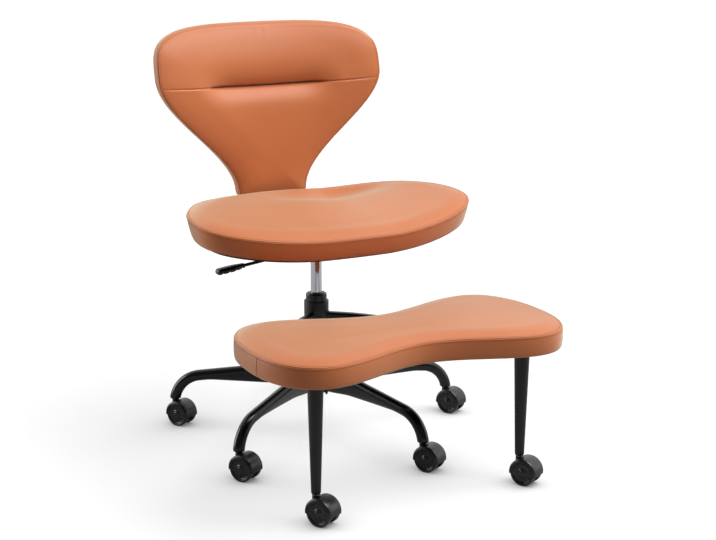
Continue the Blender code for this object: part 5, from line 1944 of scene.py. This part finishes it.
@dataclass
class FootFrame:
    """Two curved arms from the sleeve, and two tapered legs with their plates."""

    spread: float = math.radians(56.0)
    sleeve: float = 0.0265
    width: float = 0.02
    height: float = 0.015
    power: float = 3.0
    end_x: float = 0.165
    end_reach: float = 0.335
    run_out: float = 0.13
    climb_start: float = 0.55
    climb_end: float = 0.9
    climb: float = 0.0083
    steps: int = 34
    leg_x: float = 0.226
    leg_reach: float = 0.46
    leg_top: float = 0.0155
    leg_foot: float = 0.0094
    plate_size: float = 0.062
    plate_thickness: float = 0.003
    plate_corner: float = 0.01
    screw_pitch: float = 0.044
    board_screw: float = 0.0048
    plate_screw: float = 0.0042
    root_bite: float = 0.0004
    weld: tuple[Point, ...] = ((1.22, 0.0), (1.18, 0.0012), (1.05, 0.003), (1.0, 0.0048))
    tip: tuple[Point, ...] = ((1.0, -0.003), (0.94, -0.0012), (0.8, 0.0))

    def arm(self, side: float, top: float) -> Shape:
        """Bend one arm from the sleeve to the board.

        Args:
            side: 1 for the left arm and -1 for the right one.
            top: The height of its upper face near the sleeve.

        Returns:
            The arm.
        """
        ahead = Vector((math.sin(self.spread), -math.cos(self.spread)))
        start = ahead * (self.sleeve - self.width / 4)
        end = Vector((self.end_x, -self.end_reach))
        controls = (start, start + ahead * self.run_out, end + Vector((0.0, self.run_out)), end)
        middle = top - self.height / 2
        outline = [power_point(a, self.width / 2, self.height / 2, self.power) for a in angles(40)]
        root = self.sleeve - self.root_bite
        across = Vector((-ahead.y, ahead.x))
        rows = []
        for scale, out in self.weld:
            rows.append(([ahead * (math.sqrt(root ** 2 - (aside * scale) ** 2) + out) + across * aside * scale
                          for aside, _ in outline], middle, scale))
        for i in range(1, self.steps + 1):
            t = i / self.steps
            here, along = cubic(controls, t)
            across = Vector((-along.y, along.x))
            level = middle + self.climb * blend((t - self.climb_start) / (self.climb_end - self.climb_start))
            for scale, out in self.tip if i == self.steps else ((1.0, 0.0),):
                row = [here + along * out + across * aside * scale for aside, _ in outline]
                rows.append((row, level, scale))
        return loft([[Vector((point.x * side, point.y, level + up * scale))
                      for point, (_, up) in zip(row, outline)] for row, level, scale in rows])

    def leg(self, low: float, high: float) -> Shape:
        """Turn a tapered leg with the socket for its caster's stem.

        Args:
            low: The height of its foot.
            high: The height of its top.

        Returns:
            The leg.
        """
        line = [(0.0, high), (self.leg_top, high), (self.leg_foot, low + 0.002),
                (self.leg_foot - 0.0018, low), (SOCKET_RADIUS, low), (SOCKET_RADIUS, low + SOCKET_DEPTH),
                (0.0, low + SOCKET_DEPTH)]
        return turned(rounded(line, 0.0014), 64)

    def build(self) -> None:
        """Place the arms, the legs, their plates and the screws."""
        for name, side in (("left", 1.0), ("right", -1.0)):
            node = f"footrest_arm_{name}"
            high = span(node)[1]
            new_piece(node + "_bent", moved(self.arm(side, high - self.climb), at_axis()), SATIN, node)
            self.screws(node, [Vector((side * self.end_x, -self.end_reach + reach, high - self.height))
                               for reach in (0.012, 0.04)], self.board_screw)
            place = at_axis() @ Matrix.Translation((side * self.leg_x, -self.leg_reach, 0.0))
            node = f"footrest_leg_{name}"
            new_piece(node + "_turned", moved(self.leg(*span(node)), place), SATIN, node)
            node = f"footrest_leg_plate_{name}"
            low, high = span(node)
            shape = plate(self.plate_size, self.plate_thickness, self.plate_corner)
            new_piece(node + "_pressed", moved(shape, Matrix.Translation((0, 0, high)) @ place), SATIN, node)
            half = self.screw_pitch / 2
            self.screws(node, [Vector((side * self.leg_x + x, y - self.leg_reach, low))
                               for x in (-half, half) for y in (-half, half)], self.plate_screw)

    def screws(self, node: str, places: list[Vector], radius: float) -> None:
        """Drive screws upward into the board, their heads below these places."""
        down = Vector((0.0, 0.0, -1.0))
        drive(node + "_screws", node, [(place, down) for place in places], radius, radius * 0.55)


# Seat frame


@dataclass
class SeatFrame:
    """Mounting plate, back bar, and the valve lever with its grip."""

    sheet: SeatSheet
    back: BackSheet
    plate_depth: float = 0.0491
    plate_size: float = 0.15
    plate_thickness: float = 0.003
    plate_corner: float = 0.018
    screw_pitch: float = 0.126
    bar_width: float = 0.056
    bar_thickness: float = 0.006
    bar_start: float = 0.08
    bar_bend: float = 0.026
    bar_top: float = 0.62
    bar_front: float = 0.0386
    bar_power: float = 9.0
    bar_end: Point = (0.0006, 0.96)
    bar_screw_x: float = 0.016
    bar_screw_y: float = 0.115
    bar_screw_z: Point = (0.604, 0.56)
    shell_end: float = 0.151
    rod: float = 0.0035
    sweep: float = math.radians(7.0)
    tip_x: float = 0.004
    knee_x: float = -0.063
    bend_x: float = -0.114
    end_x: float = -0.22
    crank: float = 0.0388
    end_drop: float = 0.0095
    grip_start: float = -0.178
    grip_end: float = -0.242
    grip_width: float = 0.026
    grip_thickness: float = 0.013
    grip_power: float = 2.8
    grip_steps: int = 72
    notches: int = 4
    notch_depth: float = 0.002

    def under_shell(self, y: float) -> float:
        """Return the height of the shell's flat underside."""
        return float(self.sheet.level(np.array(0.0), np.array(y))) - self.plate_depth

    def build(self) -> None:
        """Place the plate, the bar and the lever."""
        shape = plate(self.plate_size, self.plate_thickness, self.plate_corner)
        for vert in shape.verts:
            vert.co.z += self.under_shell(vert.co.y)
        new_piece("pressed_plate", moved(shape, at_axis()), SATIN, "mounting_plate")
        half = self.screw_pitch / 2
        down = Vector((0.0, self.sheet.slope, -1.0)).normalized()
        drive("plate_screws", "mounting_plate",
              [(Vector((x, y, self.under_shell(y) - self.plate_thickness)), down)
               for x in (-half, half) for y in (-half, half)])
        new_piece("flat_bar", moved(self.bar(), at_axis()), POWDER, "back_bar")
        self.bar_screws()
        self.lever()

    def rear_line(self, z: float) -> float:
        """Return how far back the bar's middle stands at a height."""
        face = float(self.back.face_at(np.array(0.0), np.array(z)))
        return face + self.bar_front + self.bar_thickness / 2

    def bar_line(self) -> list[Vector]:
        """Draw the bar's middle from the side: along the shell, level to the bend, and up the back.

        Returns:
            Its points, back and up.
        """
        half = self.bar_thickness / 2
        level = self.under_shell(self.shell_end) - half
        line = [(y, self.under_shell(y) - half) for y in np.linspace(self.bar_start, self.shell_end, 8)]
        upright = level + self.bar_bend
        corner = self.rear_line(upright)
        for angle in np.linspace(0.0, RIGHT_ANGLE, 15):
            line.append((corner - self.bar_bend + self.bar_bend * math.sin(angle),
                         level + self.bar_bend * (1.0 - math.cos(angle))))
        line += [(self.rear_line(z), z) for z in np.linspace(upright, self.bar_top, 16)[1:]]
        return [Vector((float(y), float(z))) for y, z in line]

    def bar(self) -> Shape:
        """Carry the flat bar's section along its line.

        Returns:
            The bar.
        """
        points = self.bar_line()
        last = len(points) - 1
        softened, narrow = self.bar_end
        wide, thick = self.bar_width / 2, self.bar_thickness / 2
        rings = []
        for i, here in enumerate(points):
            along = (points[min(i + 1, last)] - points[max(i - 1, 0)]).normalized()
            normal = Vector((-along.y, along.x))
            rows = [(0.0, 1.0)]
            if i == 0:
                rows = [(0.0, narrow), (softened, 1.0)]
            elif i == last:
                rows = [(-softened, 1.0), (0.0, narrow)]
            for out, scale in rows:
                outline = [power_point(a, wide * scale, thick * scale, self.bar_power) for a in angles(56)]
                rings.append([Vector((x, here.x + along.x * out + normal.x * up,
                                      here.y + along.y * out + normal.y * up)) for x, up in outline])
        return loft(rings)

    def bar_screws(self) -> None:
        """Screw the bar to the backrest and to the shell."""
        rear, down = Vector((0.0, 1.0, -self.back.rake)), Vector((0.0, self.sheet.slope, -1.0))
        pair = (-self.bar_screw_x, self.bar_screw_x)
        spots = [(Vector((x, self.rear_line(z) + self.bar_thickness / 2, z)), rear)
                 for z in self.bar_screw_z for x in pair]
        under = self.under_shell(self.bar_screw_y) - self.bar_thickness
        spots += [(Vector((x, self.bar_screw_y, under)), down) for x in pair]
        drive("bar_screws", "back_bar", spots)

    def lever_place(self, x: float, z: float) -> Vector:
        """Return the place on the swept lever at a distance along X and a height."""
        return Vector((x + AXIS.x, x * math.tan(self.sweep) + AXIS.y, z))

    def lever(self) -> None:
        """Make the bent rod and its notched grip."""
        top = span("lever_rod")[1] - self.rod
        bend, end = top - self.crank, top - self.crank - self.end_drop
        fall = (end - bend) / (self.end_x - self.bend_x)
        start = self.grip_start + 0.0006
        corners = [(self.tip_x, top), (self.knee_x, top), (self.bend_x, bend),
                   (start, bend + fall * (start - self.bend_x))]
        line = [self.lever_place(x, z) for x, z in rounded(corners, 0.014, 8)]
        new_piece("bent_rod", sweep(line, self.rod), SATIN, "lever_rod")
        rings = []
        for i in range(self.grip_steps + 1):
            share = i / self.grip_steps
            x = self.grip_start + (self.grip_end - self.grip_start) * share
            middle = self.lever_place(x, bend + fall * (x - self.bend_x))
            ending = max((share - 0.88) / 0.12, 0.0)
            round_end = math.sqrt(1.0 - 0.75 * ending * ending) * (1.0 - 0.25 * ending ** 6)
            swell = blend(share / 0.45)
            wide = self.grip_width / 2 * (0.62 + 0.38 * swell) * round_end
            tall = self.grip_thickness / 2 * (0.8 + 0.2 * swell) * round_end
            notch = self.notch_depth * max(math.sin(TURN * self.notches * share), 0.0) ** 2
            section = [power_point(angle, wide, tall, self.grip_power) for angle in angles(28)]
            rings.append([middle + Vector((0.0, aside, up + notch if up < 0.0 else up))
                          for aside, up in section])
        new_piece("paddle_grip", loft(rings), NYLON, "lever_grip")


# The studio


@dataclass(frozen=True)
class Lamp:
    """One area lamp, placed in the camera's own turn and facing the chair's middle."""

    name: str
    place: Triple
    size: Point
    power: float
    aim: Triple = (0.0, 0.0, 0.45)

    def build(self, azimuth: float) -> None:
        """Hang the lamp.

        Args:
            azimuth: The camera's turn about the column.
        """
        data = bpy.data.lights.new(self.name, "AREA")
        data.shape = "RECTANGLE"
        data.size, data.size_y = self.size
        data.energy = self.power
        made = put(self.name, data)
        made.location = Matrix.Rotation(azimuth, 4, "Z") @ Vector(self.place)
        made.rotation_euler = (Vector(self.aim) - made.location).to_track_quat("-Z", "Y").to_euler()


@dataclass(frozen=True)
class Studio:
    """A pale glowing floor with painted contact shadows, a broad key lamp high at the right, weak strips at
    both sides, and the fitted camera.
    """

    lens: float = 79.72
    sensor: float = 36.0
    azimuth: float = math.radians(-27.4)
    pitch: float = math.radians(13.808)
    aside: float = 0.0896
    distance: float = 3.2955
    height: float = 1.1728
    floor_colour: str = "9A9A9A"
    floor_size: float = 60.0
    lift_start: float = 0.6
    lift_end: float = 2.4
    lift_near: float = 0.74
    # How far the painted contact shadow in the floor's glow reaches round each part.
    painted_shadow_reach: float = 0.12
    lift_mirrored: float = 0.35
    ambient: float = 0.17
    front_dark: float = 0.16
    rear_bright: float = 1.3
    turn_start: float = -0.45
    turn_end: float = 0.25
    lamps: tuple[Lamp, ...] = (Lamp("key", (2.15, -0.25, 3.68), (2.8, 2.8), 190.0),
                               Lamp("left_strip", (-2.8, 0.5, 0.9), (1.2, 2.0), 38.0),
                               Lamp("right_strip", (2.6, 0.3, 0.9), (0.8, 2.0), 6.0))

    def build(self) -> None:
        """Set up the floor, the lamps, the world and the camera."""
        self.floor()
        for lamp in self.lamps:
            lamp.build(self.azimuth)
        self.world()
        self.camera()
        bpy.context.scene.view_settings.view_transform = "Standard"

    def seen(self, tree: Tree) -> tuple[Socket, Socket]:
        """Tell the rays apart.

        Args:
            tree: The node tree.

        Returns:
            Whether a ray comes from the camera, and whether it was mirrored or passed through.
        """
        path = add_node(tree, "LightPath").outputs
        bounced = combined(tree, "MAXIMUM", path["Is Glossy Ray"], path["Is Transmission Ray"])
        return path["Is Camera Ray"], bounced

    def floor(self) -> None:
        """Lay the floor; it glows white to the camera where no shadow falls, and an ambient-occlusion node
        paints contact shadow into that glow close to the chair's parts.
        """
        shape = bmesh.new()
        bmesh.ops.create_grid(shape, x_segments=1, y_segments=1, size=self.floor_size / 2)
        mesh = bpy.data.meshes.new("floor")
        shape.to_mesh(mesh)
        shape.free()
        made = put("floor", mesh)
        surface = bpy.data.materials.new("floor_glow_with_painted_shadow")
        surface.use_nodes = True
        tree = surface.node_tree
        wiring = Wiring(tree, tree.nodes["Principled BSDF"], add_node(tree, "TexCoord").outputs["Object"])
        wiring.set({"Base Color": linear(self.floor_colour), "Roughness": 0.9, "Specular IOR Level": 0.1,
                    "Emission Color": WHITE})
        camera, bounced = self.seen(tree)
        rays = combined(tree, "MAXIMUM", camera, combined(tree, "MULTIPLY", bounced, self.lift_mirrored))
        away = add_node(tree, "VectorMath", {}, {0: wiring.place}, operation="LENGTH").outputs["Value"]
        lift = mapped(tree, away, self.lift_near, 1.0, self.lift_start, self.lift_end)
        # Painted contact shadow: ambient occlusion dims the floor's glow next to the casters and legs.
        painted_contact_shadow = add_node(tree, "AmbientOcclusion", {"Distance": self.painted_shadow_reach}).outputs["AO"]
        light = combined(tree, "MULTIPLY", combined(tree, "MULTIPLY", lift, painted_contact_shadow), rays)
        tree.links.new(light, wiring.shader.inputs["Emission Strength"])
        mesh.materials.append(surface)

    def world(self) -> None:
        """White behind the floor; dim light from all round; mirrored rays find the camera's side dark."""
        world = bpy.context.scene.world or bpy.data.worlds.new("studio")
        bpy.context.scene.world = world
        world.use_nodes = True
        tree = world.node_tree
        tree.nodes.clear()
        camera, bounced = self.seen(tree)
        toward = Matrix.Rotation(self.azimuth, 3, "Z") @ Vector((0.0, -1.0, 0.0))
        ray = add_node(tree, "TexCoord").outputs["Generated"]
        facing_it = add_node(tree, "VectorMath", {1: toward}, {0: ray}, operation="DOT_PRODUCT")
        mirrored = mapped(tree, facing_it.outputs["Value"], self.rear_bright, self.front_dark,
                          self.turn_start, self.turn_end)
        mix = add_node(tree, "Mix", {"A": self.ambient}, {"Factor": bounced, "B": mirrored})
        strength = combined(tree, "MAXIMUM", camera, mix.outputs["Result"])
        white = add_node(tree, "Background", {"Color": WHITE}, {"Strength": strength})
        add_node(tree, "OutputWorld", {}, {"Surface": white.outputs[0]})

    def camera(self) -> None:
        """Place the camera by its fitted distance, height, turn and pitch."""
        data = bpy.data.cameras.new("camera")
        data.sensor_fit = "HORIZONTAL"
        data.sensor_width = self.sensor
        data.lens = self.lens
        made = put("camera", data)
        turn = Matrix.Rotation(self.azimuth, 4, "Z")
        place = turn @ Vector((self.aside, -self.distance, self.height))
        made.location = place + Vector((AXIS.x, AXIS.y, 0.0))
        made.rotation_euler = (RIGHT_ANGLE - self.pitch, 0.0, self.azimuth)
        bpy.context.scene.camera = made


# Assembly


def dress_nodes() -> None:
    """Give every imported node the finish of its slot."""
    finishes = {Slot.LEATHER: LEATHER, Slot.POWDER_COAT: POWDER, Slot.SATIN: SATIN, Slot.NYLON: NYLON,
                Slot.TYRE: TYRE, Slot.CHROME: CHROME, Slot.STEEL: STEEL, Slot.PLYWOOD: BOARD}
    for part in frame["record"]["subparts"]:
        node = frame["nodes"][part["node"]]
        finish = finishes[Slot(part["material_slot"])]
        node.data.materials.clear()
        node.data.materials.append(finish.material())
        log.info("%s: %s", part["node"], finish.name)


def upholstery(seat: SeatSheet, foot: FootSheet, back: BackSheet) -> None:
    """Make the three cushions and the stiff sheets behind them.

    Args:
        seat: The sheet of the seat's seam.
        foot: The footrest's.
        back: The backrest's.
    """
    board_top, board_bottom = -0.0408, -0.0488
    Cushion(seat, "seat", "seat_cushion", 120, 80, boxing=0.0405, crown=0.012, lean=0.0095).build()
    Cushion(foot, "footrest", "footrest_cushion", 130, 64, boxing=0.0405, crown=0.0105).build()
    Cushion(back, "backrest", "back_cushion", 96, 112, boxing=0.03, crown=0.0135, crown_reach=0.098,
            crown_power=3.0, puff=0.0015).build()
    Board(seat, "seat_shell_moulding", "seat_shell", 72, 48, finish=SHELL, top=board_top, bottom=board_bottom,
          inset=0.029, rim_inset=0.037).build()
    Board(foot, "footrest_ply", "footrest_board", 80, 44, finish=BOARD, top=board_top, bottom=board_bottom,
          rim_inset=0.038).build()
    Board(back, "backrest_board", "back_board", 64, 72, finish=SHELL, top=-0.0303, bottom=-0.0383,
          inset=0.012, rim_inset=0.018).build()


def main() -> None:
    """Dress the chair and set the studio round it."""
    logging.basicConfig(level=logging.INFO, format="%(name)s: %(message)s")
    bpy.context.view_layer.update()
    dress_nodes()
    seat, foot, back = SeatSheet(), FootSheet(), BackSheet()
    upholstery(seat, foot, back)
    Column().build()
    StarBase().build()
    for number in range(1, 8):
        Caster(number).build()
    FootFrame().build()
    SeatFrame(seat, back).build()
    Studio().build()


if __name__ == "__main__":
    main()
